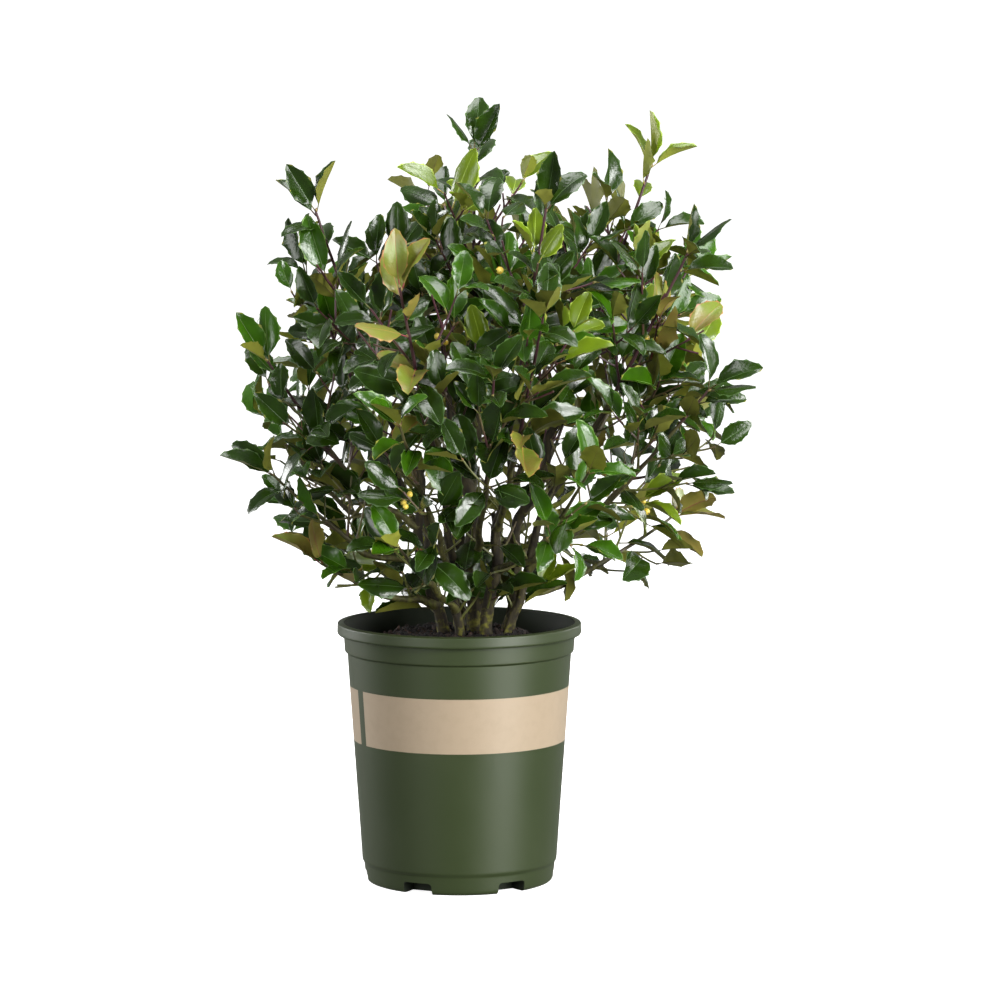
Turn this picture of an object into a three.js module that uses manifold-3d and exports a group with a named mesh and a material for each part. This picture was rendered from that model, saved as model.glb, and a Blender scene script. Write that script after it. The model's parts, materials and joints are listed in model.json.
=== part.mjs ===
// A holly shrub in a round nursery pot, in millimetres, +Z up.
//
// The origin is the middle of the pot's underside, where the pot stands on the ground. +X is to the right
// of the shrub's best side and +Y is away from it. Nine stems stand in potting mix. They fan out, carry side
// boughs, and end in masses of leafy twigs. Every limb, twig and leaf is worked out from the sizes below by
// one growth rule.

import * as THREE from "three";
import { mergeVertices } from "three/addons/utils/BufferGeometryUtils.js";
import Module from "manifold-3d";

const wasm = await Module();
wasm.setup();

// ------------------------------------------------------------------------------------------------
// Driving dimensions
// ------------------------------------------------------------------------------------------------

const CLEARANCE = 0.3; // between neighbouring solids
const WELD = 1e-4; // vertices this close are one vertex

const POT = {
  height: 246,
  wall: 2.2,
  lipRadius: 115, // outside of the rolled lip
  lipHeight: 11,
  collarRadius: 109,
  collarHeight: 17, // from under the lip down to the step
  bodyTopRadius: 105.6,
  bodyFootRadius: 91.8,
  heelRadius: 90.2, // the narrower band that the feet are cut in
  heelHeight: 19,
  footRadius: 88.2,
  footCorner: 4.5, // radius of the edge round the feet
  footRingInnerRadius: 66,
  floorRise: 11.5, // underside of the raised floor inside the feet
  floorTaper: 6, // run of the slope between a foot and the raised floor
  padRadius: 27, // flat pad under the middle
  notches: 6,
  notchWidth: 29,
  notchHeight: 11,
  notchTurn: 4, // degrees that the front foot is turned towards +X
  stepSlope: 4, // height of the sloping step under the collar
  heelSlope: 2.5, // height of the step above the heel
  brim: 1.5, // by which the inside widens from the collar to the lip
  segments: 32,
};

const SOIL = {
  edgeDepth: 30, // below the pot's top, at the wall
  moundDepth: 10, // below the pot's top, where the stems stand
  plateauRadius: 56, // the level middle
  shoulderRadius: 78, // where the mound is half as high
  edgeRise: 4, // half-way from the wall to the shoulder
  crumb: 2.2, // height of the bumps round the level middle
  crumbLength: 21, // from bump to bump
};

// The crown is measured from the fan point, on the mix between the stems. The reach of its leaf tips grows
// evenly with the angle at which a bough rises, up to the top's.
const CROWN = {
  fanX: 15,
  levelReach: 139,
  topReach: 495,
  topRise: 69, // degrees from which the reach is the top's
  bareHeight: 14, // above the pot's top, where no leaf hangs
  lean: 0.12, // the share by which the +X side reaches further
  depth: 0.95, // reach along Y against reach along X
  unevenness: 0.04, // most that a mass's reach departs from the rule
  sway: 7, // most that a mass is turned from its place, in degrees
  massStart: 0.5, // where a mass begins, as a share of its reach
  massMiddle: 0.55, // along its leading twig
};

// Each tier of masses: how steeply its boughs rise, in degrees, and where they fork from the stem, as a
// share of the stem's length. Tall and short stems stand by turns.
const TIERS = {
  skirt: { tall: 22, short: 26, fork: 0.16 },
  flank: { tall: 37, short: 42, fork: 0.32 },
  shoulder: { tall: 53, short: 59, fork: 0.48 },
  top: { tall: 68 },
};

// The boughs of the middle stem, which fill the front and the back.
const MIDDLE_BOUGHS = {
  front: { bearing: -92, rise: 49, fork: 0.3 },
  back: { bearing: 88, rise: 49, fork: 0.36 },
};

const STEMS = {
  ringCount: 8, // round the middle one
  ringRadius: 30, // on the mix
  ringTurn: 22, // bearing of the first of them, in degrees from +X towards +Y
  bareBelow: [6, 7], // the stems of the ring that have no skirt, so the feet show
  middleDiameter: 20,
  tallDiameter: 12,
  shortDiameter: 9,
  tipDiameter: 5.4,
  bend: 0.5, // how far back from its tip a stem or bough begins to bend
  footFlare: 1.3,
  flareEnd: 0.1, // along the stem
  sides: 6,
  steps: 6,
};

const BOUGHS = {
  thickness: 0.72, // of the stem, where they leave it
  maxDiameter: 9,
  tipDiameter: 5,
  sides: 5,
  steps: 4,
};

// A mass has one leading twig. Its nodes bear side twigs, and then single leaves near its tip.
const TWIGS = {
  leader: { diameter: 6, tipDiameter: 3.4, sides: 3, steps: 3 },
  side: { diameter: 2.4, tipDiameter: 2.2, sides: 3, steps: 1 },
  spacing: 26, // between side twigs along the leading twig
  fewest: 3, // side twigs
  leafNodes: 4, // that bear single leaves, beyond the side twigs
  firstNode: 0.1, // along the leading twig
  lastNode: 0.93,
  length: 0.5, // of the leading twig
  shortening: 0.4, // of that length, from the first node to the tip
  variation: 0.2,
  openAngle: 58, // where they leave the leading twig, at its foot
  closeAngle: 34, // and at its tip
  uplift: 0.16, // how far a side twig turns to the sky
  leaderUplift: 0.08,
};

// A leaf stands on the middle of one of its twig's three sides, and each next leaf on the next side. The
// leaves are larger and fewer than the living shrub's.
const LEAVES = {
  length: 68,
  width: 0.5, // of the length
  thickness: 0.034, // of the length
  variation: 0.14,
  shoulders: [0.32, 0.7], // the ends of the blade's broad stretch, as shares of its length
  shoulderWidth: 0.44, // of the blade's width, on each side
  sunk: 0.3, // how far a leaf's root passes its twig's axis
  endSunk: 0.9, // how far the root of the leaf at a twig's end reaches into it
  spread: 52, // from the twig, in degrees
  perTwig: 4, // with the one at the end
  firstPlace: 0.26, // along the twig
  upturn: 0.55, // how far the upper face turns to the sky
  sizes: [1, 0.8], // tried in turn where a leaf finds no room
};

const SEEDS = { plan: 7, foliage: 100 };

const COLOURS = {
  pot: "#43502f",
  soil: "#2d2522",
  stem: "#4b4636",
  bough: "#5a5a3c",
  foliage: "#27452a",
};

// ------------------------------------------------------------------------------------------------
// Small tools
// ------------------------------------------------------------------------------------------------

const UP = new THREE.Vector3(0, 0, 1);
const radians = THREE.MathUtils.degToRad;
const mix = THREE.MathUtils.lerp;
const vector = (x, y, z) => new THREE.Vector3(x, y, z);
const along = (point, direction, distance) => point.clone().addScaledVector(direction, distance);
const lifted = (direction, uplift) => along(direction, UP, uplift).normalize();

// Seeded numbers in [0, 1), by a linear congruential generator. The same seed always gives the same run.
function seeded(seed) {
  const [scramble, factor, step] = [2654435761, 1664525, 1013904223];
  let state = Math.imul(seed + 1, scramble) >>> 0;
  return () => {
    state = (Math.imul(state, factor) + step) >>> 0;
    return state / 2 ** 32;
  };
}

// A closed geometry as a solid: only its positions, welded, without the triangles that shrink to nothing.
function solidOf(geometry) {
  const bare = geometry.clone();
  for (const name of Object.keys(bare.attributes)) {
    if (name !== "position") bare.deleteAttribute(name);
  }
  const welded = mergeVertices(bare, WELD);
  const corners = [];
  for (let i = 0; i < welded.index.count; i += 3) {
    const [a, b, c] = [0, 1, 2].map((k) => welded.index.getX(i + k));
    if (a !== b && b !== c && c !== a) corners.push(a, b, c);
  }
  return new wasm.Manifold(
    new wasm.Mesh({
      numProp: 3,
      vertProperties: Float32Array.from(welded.attributes.position.array),
      triVerts: Uint32Array.from(corners),
    }),
  );
}

// The geometry of a solid, for a THREE.Mesh.
function geometryOf(solid) {
  const mesh = solid.getMesh();
  const positions = new Float32Array(mesh.numVert * 3);
  for (let i = 0; i < mesh.numVert; i++) {
    positions.set(mesh.vertProperties.subarray(i * mesh.numProp, i * mesh.numProp + 3), i * 3);
  }
  const geometry = new THREE.BufferGeometry();
  geometry.setAttribute("position", new THREE.BufferAttribute(positions, 3));
  geometry.setIndex(new THREE.BufferAttribute(mesh.triVerts, 1));
  geometry.computeVertexNormals();
  return geometry;
}

const joined = (solids) => solids.reduce((whole, next) => whole.add(next));
const touches = (solid, other) => !solid.intersect(other).isEmpty();

function named(name, solid, colour, roughness) {
  const material = new THREE.MeshStandardMaterial({ color: colour, roughness, metalness: 0 });
  const mesh = new THREE.Mesh(geometryOf(solid), material);
  mesh.name = name;
  return mesh;
}

// A solid turned round +Z. The profile's points are [radius, height] and start and end on the axis.
function turned(profile) {
  const points = profile.map(([radius, height]) => new THREE.Vector2(radius, height));
  return solidOf(new THREE.LatheGeometry(points, POT.segments).rotateX(Math.PI / 2));
}

// Points of an arc, from one angle to another, in degrees, as [radius, height].
function arc(centre, radius, from, to, steps) {
  return Array.from({ length: steps + 1 }, (_, i) => {
    const angle = radians(mix(from, to, i / steps));
    return [centre[0] + radius * Math.cos(angle), centre[1] + radius * Math.sin(angle)];
  });
}

// ------------------------------------------------------------------------------------------------
// Pot and potting mix
// ------------------------------------------------------------------------------------------------

const stepLevel = POT.height - POT.lipHeight - POT.collarHeight;
const soilLevel = POT.height - SOIL.moundDepth;
const bodyRadiusAt = (level) =>
  THREE.MathUtils.mapLinear(level, POT.heelHeight, stepLevel, POT.bodyFootRadius, POT.bodyTopRadius);

function potOutside() {
  const corner = [POT.footRadius - POT.footCorner, POT.footCorner];
  const bead = POT.lipHeight / 2;
  const heelStep = POT.heelSlope / 2;
  const collarStep = POT.stepSlope / 2;
  return turned([
    [0, 0],
    [POT.padRadius, 0],
    [POT.padRadius + POT.floorTaper, POT.floorRise],
    [POT.footRingInnerRadius - POT.floorTaper, POT.floorRise],
    [POT.footRingInnerRadius, 0],
    ...arc(corner, POT.footCorner, -90, 0, 2),
    [POT.heelRadius, POT.heelHeight - heelStep],
    [POT.bodyFootRadius, POT.heelHeight + heelStep],
    [POT.bodyTopRadius, stepLevel - collarStep],
    [POT.collarRadius, stepLevel + collarStep],
    [POT.collarRadius, POT.height - POT.lipHeight],
    ...arc([POT.lipRadius - bead, POT.height - bead], bead, -75, 90, 4),
    [0, POT.height],
  ]);
}

// The inside of the body from the floor up, with `skin` between it and the outside. `lid` closes it above.
function potInside(skin, lid) {
  return turned([
    [0, POT.floorRise + skin],
    [POT.heelRadius - skin, POT.floorRise + skin],
    [POT.bodyFootRadius - skin, POT.heelHeight + skin],
    ...lid,
  ]);
}

// The channels under the floor that part the feet.
function notches() {
  const length = POT.lipRadius;
  return joined(
    Array.from({ length: POT.notches }, (_, i) => {
      const channel = new THREE.BoxGeometry(length, POT.notchWidth, 2 * POT.notchHeight);
      channel.translate(POT.footRingInnerRadius - POT.floorTaper + length / 2, 0, 0);
      channel.rotateZ(radians(POT.notchTurn - 90 + ((i + 0.5) * 360) / POT.notches));
      return solidOf(channel);
    }),
  );
}

function makePot() {
  const collarInside = POT.collarRadius - POT.wall;
  const above = POT.height + CLEARANCE;
  const hollow = potInside(POT.wall, [
    [bodyRadiusAt(stepLevel) - POT.wall, stepLevel],
    [collarInside, stepLevel + POT.stepSlope],
    [collarInside + POT.brim, above],
    [0, above],
  ]);
  return potOutside().subtract(notches()).subtract(hollow);
}

// The mix fills the pot up to a mound, level where the stems stand and crumbly round them.
function makeSoil() {
  const skin = POT.wall + CLEARANCE;
  const edgeLevel = POT.height - SOIL.edgeDepth;
  const edgeRadius = bodyRadiusAt(edgeLevel) - skin;
  const filling = potInside(skin, [
    [edgeRadius, edgeLevel],
    [(edgeRadius + SOIL.shoulderRadius) / 2, edgeLevel + SOIL.edgeRise],
    [SOIL.shoulderRadius, (edgeLevel + soilLevel) / 2],
    [SOIL.plateauRadius, soilLevel],
    [0, soilLevel],
  ]);
  const geometry = geometryOf(filling);
  const places = geometry.attributes.position;
  const wave = (2 * Math.PI) / SOIL.crumbLength;
  for (let i = 0; i < places.count; i++) {
    const [x, y, z] = [places.getX(i), places.getY(i), places.getZ(i)];
    if (z > edgeLevel + CLEARANCE && z < soilLevel - CLEARANCE) {
      places.setZ(i, z + SOIL.crumb * Math.sin(x * wave) * Math.cos(y * wave));
    }
  }
  return solidOf(geometry);
}

// The space under the crown, which the foliage stays out of.
function makeSpaceBelow() {
  const level = POT.height + CROWN.bareHeight;
  return turned([
    [0, 0],
    [CROWN.topReach, 0],
    [CROWN.topReach, level],
    [0, level],
  ]);
}

// ------------------------------------------------------------------------------------------------
// Limbs
// ------------------------------------------------------------------------------------------------

// A stem, bough or twig: straight pieces between rings that lie along a curve, tapering on the way.
class Limb {
  constructor(start, bend, end, { diameter, tipDiameter, sides, steps, footFlare = 1 }) {
    const curve = new THREE.QuadraticBezierCurve3(start, bend, end);
    Object.assign(this, { diameter, tipDiameter, sides, steps, footFlare });
    this.points = curve.getSpacedPoints(steps);
    this.frames = curve.computeFrenetFrames(steps, false);
  }

  // The ring before a place, and how far the place is on the way to the next ring.
  pieceAt(place) {
    const ring = Math.min(Math.floor(place * this.steps), this.steps - 1);
    return [ring, place * this.steps - ring];
  }

  pointAt(place) {
    const [ring, share] = this.pieceAt(place);
    return this.points[ring].clone().lerp(this.points[ring + 1], share);
  }

  headingAt(place) {
    const [ring] = this.pieceAt(place);
    return this.points[ring + 1].clone().sub(this.points[ring]).normalize();
  }

  // The foot is wider by the flare, which dies out a little way up.
  diameterAt(place) {
    const foot = Math.max(0, 1 - place / STEMS.flareEnd);
    return mix(this.diameter, this.tipDiameter, place) * (1 + (this.footFlare - 1) * foot * foot);
  }

  // A direction that opens from the limb by `angle` and stands at `turn` round it, both in radians.
  openedAt(place, angle, turn) {
    const [ring] = this.pieceAt(place);
    return this.headingAt(place)
      .multiplyScalar(Math.cos(angle))
      .addScaledVector(this.frames.normals[ring], Math.sin(angle) * Math.cos(turn))
      .addScaledVector(this.frames.binormals[ring], Math.sin(angle) * Math.sin(turn));
  }

  // The turn at which the middle of one of the limb's sides stands.
  turnOfSide(number) {
    return Math.PI / 2 + (number * 2 * Math.PI) / this.sides;
  }

  // A cylinder whose rings are moved to the limb's own. `extra` is added to its radius.
  solid(extra = 0) {
    const cylinder = new THREE.CylinderGeometry(1, 1, 1, this.sides, this.steps);
    const places = cylinder.attributes.position;
    for (let i = 0; i < places.count; i++) {
      const ring = Math.round((places.getY(i) + 0.5) * this.steps);
      const radius = this.diameterAt(ring / this.steps) / 2 + extra;
      const point = this.points[ring].clone();
      point.addScaledVector(this.frames.normals[ring], places.getX(i) * radius);
      point.addScaledVector(this.frames.binormals[ring], -places.getZ(i) * radius);
      places.setXYZ(i, point.x, point.y, point.z);
    }
    return solidOf(cylinder);
  }
}

// ------------------------------------------------------------------------------------------------
// Plan of the plant
// ------------------------------------------------------------------------------------------------

const fanPoint = vector(CROWN.fanX, 0, soilLevel + CLEARANCE);

// A direction by its bearing and its rise, in radians.
const towards = (bearing, rise) =>
  vector(Math.cos(bearing) * Math.cos(rise), Math.sin(bearing) * Math.cos(rise), Math.sin(rise));

// How far the crown reaches from the fan point in such a direction.
function reachOf(bearing, rise) {
  const width = Math.hypot(Math.cos(bearing), CROWN.depth * Math.sin(bearing));
  const side = 1 + CROWN.lean * Math.cos(bearing) * Math.cos(rise);
  const reach = mix(CROWN.levelReach, CROWN.topReach, Math.min(1, rise / radians(CROWN.topRise)));
  return reach * width ** Math.cos(rise) * side;
}

// Where a mass begins, where it heads, and how long its leading twig is. `chance` gives seeded numbers.
function seatOf(bearing, rise, chance) {
  const sway = radians(CROWN.sway);
  const swayed = bearing + sway * (2 * chance() - 1);
  const direction = towards(swayed, rise + (sway / 3) * (2 * chance() - 1));
  const reach = reachOf(swayed, rise) * (1 + CROWN.unevenness * (2 * chance() - 1));
  const start = along(fanPoint, direction, reach * CROWN.massStart);
  return { start, direction, length: reach * (1 - CROWN.massStart) - LEAVES.length };
}

// A limb that ends where a mass begins, pointing the way that the mass heads.
function limbTo(mass, start, sizes) {
  const bend = along(mass.start, mass.direction, -STEMS.bend * start.distanceTo(mass.start));
  return new Limb(start, bend, mass.start, sizes);
}

// The stems, boughs and masses, before any of them is made solid.
function planPlant() {
  const stems = [];
  const boughs = [];
  const masses = [];
  const chance = seeded(SEEDS.plan);

  const addMass = (name, bearing, rise) => {
    const mass = { name, ...seatOf(bearing, rise, chance) };
    masses.push(mass);
    return mass;
  };
  const addStem = (name, bearing, distance, mass, diameter) => {
    const foot = along(fanPoint, towards(bearing, 0), distance);
    const buried = along(foot, UP, -diameter); // so that the cut at the mix is level and whole
    const limb = limbTo(mass, buried, { ...STEMS, diameter });
    const stem = { name, limb };
    stems.push(stem);
    return stem;
  };
  const addBough = (name, stem, fork, mass) => {
    const diameter = Math.min(stem.limb.diameterAt(fork) * BOUGHS.thickness, BOUGHS.maxDiameter);
    boughs.push({ name, stem, limb: limbTo(mass, stem.limb.pointAt(fork), { ...BOUGHS, diameter }) });
  };

  const middleMass = addMass("foliage_middle", 0, Math.PI / 2);
  const middle = addStem("stem_middle", 0, 0, middleMass, STEMS.middleDiameter);
  for (const [name, { bearing, rise, fork }] of Object.entries(MIDDLE_BOUGHS)) {
    addBough(`bough_${name}`, middle, fork, addMass(`foliage_${name}`, radians(bearing), radians(rise)));
  }
  for (let i = 0; i < STEMS.ringCount; i++) {
    const kind = i % 2 === 0 ? "tall" : "short";
    const bearing = radians(STEMS.ringTurn + (i * 360) / STEMS.ringCount);
    const tiers = Object.keys(TIERS).filter(
      (tier) => TIERS[tier][kind] && !(tier === "skirt" && STEMS.bareBelow.includes(i)),
    );
    const massOf = (tier) => addMass(`foliage_${tier}_${i + 1}`, bearing, radians(TIERS[tier][kind]));
    const footBearing = bearing + radians(CROWN.sway) * (2 * chance() - 1);
    const tipMass = massOf(tiers.pop());
    const stem = addStem(`stem_${i + 1}`, footBearing, STEMS.ringRadius, tipMass, STEMS[`${kind}Diameter`]);
    for (const tier of tiers) addBough(`bough_${tier}_${i + 1}`, stem, TIERS[tier].fork, massOf(tier));
  }
  return { stems, boughs, masses };
}

// ------------------------------------------------------------------------------------------------
// Foliage
// ------------------------------------------------------------------------------------------------

// One leaf of six corners and eight faces: flat across above, and keeled below along its midrib.
function leafSolid(root, axis, face, length) {
  const side = face.clone().cross(axis).normalize();
  const normal = axis.clone().cross(side).normalize();
  const edge = (share, sign) => {
    const middle = along(along(root, axis, share * length), normal, LEAVES.thickness * length);
    return along(middle, side, sign * LEAVES.shoulderWidth * LEAVES.width * length);
  };
  const [near, far] = LEAVES.shoulders;
  const tip = along(root, axis, length);
  const points = [root, edge(near, 1), edge(far, 1), tip, edge(far, -1), edge(near, -1)];
  const geometry = new THREE.BufferGeometry().setFromPoints(points);
  geometry.setIndex([0, 1, 3, 1, 2, 3, 3, 4, 5, 3, 5, 0, 0, 5, 1, 1, 5, 4, 1, 4, 2, 2, 4, 3]);
  return { solid: solidOf(geometry), points };
}

// The leaf that stands at a place on a twig, on the side of that number, or at the twig's end.
function leafOn(twig, place, side, length) {
  const atEnd = place === 1;
  const axis = twig.openedAt(place, atEnd ? 0 : radians(LEAVES.spread), twig.turnOfSide(side));
  const root = along(twig.pointAt(place), axis, -(atEnd ? LEAVES.endSunk : LEAVES.sunk));
  const inner = atEnd ? twig.openedAt(place, Math.PI / 2, twig.turnOfSide(side)) : twig.headingAt(place);
  return leafSolid(root, axis, along(inner, UP, LEAVES.upturn), length);
}

// The twigs of one mass and the places of its leaves, before any is made solid.
function growMass(mass, chance) {
  const straightTip = along(mass.start, mass.direction, mass.length);
  const tip = along(straightTip, UP, TWIGS.leaderUplift * mass.length);
  const foot = along(mass.start, mass.direction, CLEARANCE);
  const leader = new Limb(foot, along(foot, mass.direction, mass.length / 2), tip, TWIGS.leader);
  const twigs = [];
  const leaves = [];
  const addLeaf = (twig, place, side) => {
    const length = LEAVES.length * (1 + LEAVES.variation * (2 * chance() - 1));
    leaves.push({ twig, place, side, length });
  };

  const sideNodes = Math.max(TWIGS.fewest, Math.round(mass.length / TWIGS.spacing));
  const nodes = sideNodes + TWIGS.leafNodes;
  for (let i = 0; i < nodes; i++) {
    const place = mix(TWIGS.firstNode, TWIGS.lastNode, i / (nodes - 1));
    if (i >= sideNodes) {
      addLeaf(leader, place, i);
      continue;
    }
    const angle = radians(mix(TWIGS.openAngle, TWIGS.closeAngle, place));
    const direction = lifted(leader.openedAt(place, angle, leader.turnOfSide(i)), TWIGS.uplift);
    const vigour = 1 + TWIGS.variation * (2 * chance() - 1);
    const length = mass.length * TWIGS.length * (1 - TWIGS.shortening * place) * vigour;
    const start = leader.pointAt(place);
    const end = along(start, direction, length);
    const twig = new Limb(start, start.clone().lerp(end, 0.5), end, TWIGS.side);
    twigs.push(twig);
    const firstSide = Math.floor(3 * chance());
    for (let j = 0; j < LEAVES.perTwig; j++) {
      addLeaf(twig, mix(LEAVES.firstPlace, 1, j / (LEAVES.perTwig - 1)), firstSide + j);
    }
  }
  addLeaf(leader, 1, nodes);
  return { leader, twigs, leaves };
}

// A mass keeps to the space that is nearer to its own middle than to any other's.
function spaceOf(mass, masses) {
  const middleOf = (m) => along(m.start, m.direction, m.length * CROWN.massMiddle);
  const middle = middleOf(mass);
  const others = masses.filter((other) => other !== mass).map(middleOf);
  return (point, margin) =>
    others.every((other) => {
      const apart = other.distanceTo(middle);
      const share = point.clone().sub(middle).dot(other.clone().sub(middle)) / apart;
      return share < apart / 2 - margin;
    });
}

// The solid of one mass: its leading twig, then each side twig and leaf that stays in the mass's space and
// off the limbs. A leaf moves to the next side of its twig, or is smaller, where it would touch another. If
// there is still no room for it, it is skipped.
function massSolid(mass, masses, obstacles, seed) {
  const { leader, twigs, leaves } = growMass(mass, seeded(seed));
  const inside = spaceOf(mass, masses);
  const kept = [{ twig: leader, solid: leader.solid() }];
  for (const twig of twigs) {
    const solid = twig.solid();
    if (inside(twig.points.at(-1), CLEARANCE + twig.tipDiameter) && !touches(solid, obstacles)) {
      kept.push({ twig, solid });
    }
  }
  const isFree = ({ solid, points }, ownTwig) =>
    points.every((point) => inside(point, CLEARANCE)) &&
    !touches(solid, obstacles) &&
    !kept.some(({ twig, solid: other }) => twig !== ownTwig && touches(solid, other));
  for (const { twig, place, side, length } of leaves) {
    if (!kept.some((piece) => piece.twig === twig)) continue;
    const choices = LEAVES.sizes.flatMap((size) =>
      [0, 1, 2].map((shift) => leafOn(twig, place, side + shift, length * size)),
    );
    const leaf = choices.find((choice) => isFree(choice, twig));
    if (leaf) kept.push({ twig: null, solid: leaf.solid });
  }
  return joined(kept.map(({ solid }) => solid));
}

// ------------------------------------------------------------------------------------------------
// The whole part
// ------------------------------------------------------------------------------------------------

const plant = new THREE.Group();
plant.add(named("pot", makePot(), COLOURS.pot, 0.55));
plant.add(named("soil", makeSoil(), COLOURS.soil, 0.95));

const { stems, boughs, masses } = planPlant();
const spaceSize = 2 * CROWN.topReach;
const spaceAboveSoil = solidOf(
  new THREE.BoxGeometry(spaceSize, spaceSize, spaceSize).translate(0, 0, fanPoint.z + spaceSize / 2),
);
const limbBlocks = []; // the limbs with clearance round them, which their neighbours keep off
for (const stem of stems) {
  stem.block = stem.limb.solid(CLEARANCE);
  limbBlocks.push(stem.block);
  plant.add(named(stem.name, stem.limb.solid().intersect(spaceAboveSoil), COLOURS.stem, 0.85));
}
for (const { name, stem, limb } of boughs) {
  limbBlocks.push(limb.solid(CLEARANCE));
  plant.add(named(name, limb.solid().subtract(stem.block), COLOURS.bough, 0.8));
}

const obstacles = joined([makeSpaceBelow(), ...limbBlocks]);
masses.forEach((mass, index) => {
  const solid = massSolid(mass, masses, obstacles, SEEDS.foliage + index);
  plant.add(named(mass.name, solid, COLOURS.foliage, 0.4));
});

export default plant;
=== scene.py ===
"""A holly shrub in a round nursery pot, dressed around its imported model.

Nine stems stand in potting mix. They fan out, carry side boughs and end in masses of leafy shoots. The shrub grows
here by the rule that its solids follow, carried on to finer twigs and to leaves of true size. Sizes are millimetres
and angles degrees, unless a name says otherwise, and turn to metres where a mesh is made.
"""

import itertools
import json
import logging
import math
from collections.abc import Callable, Mapping, Sequence
from dataclasses import dataclass, field, replace
from enum import Enum

import bmesh
import bpy
import numpy as np
from bpy.types import Collection, Material, Mesh, Node, NodeSocket, NodeTree, Object
from mathutils import Matrix, Vector, noise

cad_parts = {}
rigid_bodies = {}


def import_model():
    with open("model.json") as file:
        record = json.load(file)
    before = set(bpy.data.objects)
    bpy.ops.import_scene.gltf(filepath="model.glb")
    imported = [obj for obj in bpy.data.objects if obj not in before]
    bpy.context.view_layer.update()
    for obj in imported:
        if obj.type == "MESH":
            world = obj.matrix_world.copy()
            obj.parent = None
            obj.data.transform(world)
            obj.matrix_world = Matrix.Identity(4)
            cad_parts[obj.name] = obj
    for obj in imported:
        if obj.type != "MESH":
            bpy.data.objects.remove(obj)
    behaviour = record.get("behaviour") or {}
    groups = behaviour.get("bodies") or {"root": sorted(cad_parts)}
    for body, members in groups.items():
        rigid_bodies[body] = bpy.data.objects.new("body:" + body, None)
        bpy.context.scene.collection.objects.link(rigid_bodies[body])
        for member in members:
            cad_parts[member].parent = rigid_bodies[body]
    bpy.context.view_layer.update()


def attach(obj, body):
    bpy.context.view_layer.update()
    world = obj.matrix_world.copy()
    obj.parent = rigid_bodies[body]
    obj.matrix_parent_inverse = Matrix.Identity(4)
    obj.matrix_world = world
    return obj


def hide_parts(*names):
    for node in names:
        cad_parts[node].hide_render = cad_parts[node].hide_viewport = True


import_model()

LOG = logging.getLogger("holly")
BODY = "root"
METRES = 0.001  # in a millimetre
UP = Vector((0, 0, 1))
NOISE_SEED = 1  # without one, noise vectors are drawn from the clock
MIX_LEVEL = 236.0  # height of the potting mix where the stems stand

Span = tuple[float, float]  # two numbers, mostly from and to
Chance = Callable[[], float]  # each call gives the next of a run of seeded numbers from 0 to 1
Inputs = dict[str | int, object]  # a node's inputs by name or number, each with its value or what it is linked to


# ==== Small tools ====


def linear(hex_colour: str) -> tuple[float, float, float, float]:
    """Turns an sRGB colour to linear light.

    Args:
        hex_colour: The colour as "#rrggbb".

    Returns:
        Red, green, blue and an alpha of 1.
    """
    shares = [int(hex_colour[i : i + 2], 16) / 255 for i in (1, 3, 5)]
    light = [s / 12.92 if s <= 0.04045 else ((s + 0.055) / 1.055) ** 2.4 for s in shares]
    return (*light, 1.0)


def add_node(tree: NodeTree, kind: str, inputs: Inputs | None = None, **settings: object) -> Node:
    """Adds a node to a tree, with its settings and links.

    Args:
        tree: The shader or geometry tree.
        kind: The node's type.
        inputs: The inputs that don't keep their defaults.
        **settings: The node's own settings.

    Returns:
        The new node.
    """
    node = tree.nodes.new(kind)
    for name, value in settings.items():
        setattr(node, name, value)
    for key, value in (inputs or {}).items():
        if isinstance(value, NodeSocket):
            tree.links.new(value, node.inputs[key])
        else:
            node.inputs[key].default_value = value
    return node


def seeded(seed: int) -> Chance:
    """Gives numbers by a linear congruential generator, the one that the solids use.

    Args:
        seed: The same seed always gives the same run.

    Returns:
        A function whose each call gives the next number.
    """
    modulus, scramble, factor, step = 2**32, 2654435761, 1664525, 1013904223
    state = (seed + 1) * scramble % modulus

    def chance() -> float:
        """Steps the generator once.

        Returns:
            Its new state, as a number from 0 to 1.
        """
        nonlocal state
        state = (state * factor + step) % modulus
        return state / modulus

    return chance


def mix(a: float, b: float, share: float) -> float:
    """The value that lies at a share of the way from a to b."""
    return a + (b - a) * share


def held(value: float) -> float:
    """A value kept between 0 and 1."""
    return min(1.0, max(0.0, value))


def lifted(direction: Vector, uplift: float) -> Vector:
    """A direction turned to the sky by a share of its length."""
    return (direction + UP * uplift).normalized()


def mesh_object(name: str, mesh: Mesh) -> Object:
    """Puts a mesh into the scene.

    Args:
        name: The object's name.
        mesh: Its mesh, which holds its place.

    Returns:
        The object, at the origin.
    """
    made = bpy.data.objects.new(name, mesh)
    bpy.context.scene.collection.objects.link(made)
    return made


def mesh_of(
    name: str,
    points: Sequence[Sequence[float]],
    faces: Sequence[Sequence[int]],
    edges: Sequence[Sequence[int]] = (),
    unit: float = METRES,
) -> Mesh:
    """Makes a smooth-shaded mesh.

    Args:
        name: The mesh's name.
        points: Its vertices.
        faces: The vertex numbers of each face.
        edges: The vertex numbers of each edge that has no face.
        unit: The unit of its points, in metres. A form that a tree scales has the unit 1.

    Returns:
        The mesh.
    """
    mesh = bpy.data.meshes.new(name)
    mesh.from_pydata([Vector(p) * unit for p in points], edges, faces)
    mesh.polygons.foreach_set("use_smooth", [True] * len(mesh.polygons))
    return mesh


def write_attribute(
    mesh: Mesh, name: str, kind: str, values: Sequence[float], domain: str = "POINT"
) -> None:
    """Writes a number or a vector into each point or face of a mesh, from one flat list."""
    key = "vector" if kind == "FLOAT_VECTOR" else "value"
    mesh.attributes.new(name, kind, domain).data.foreach_set(key, values)


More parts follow.
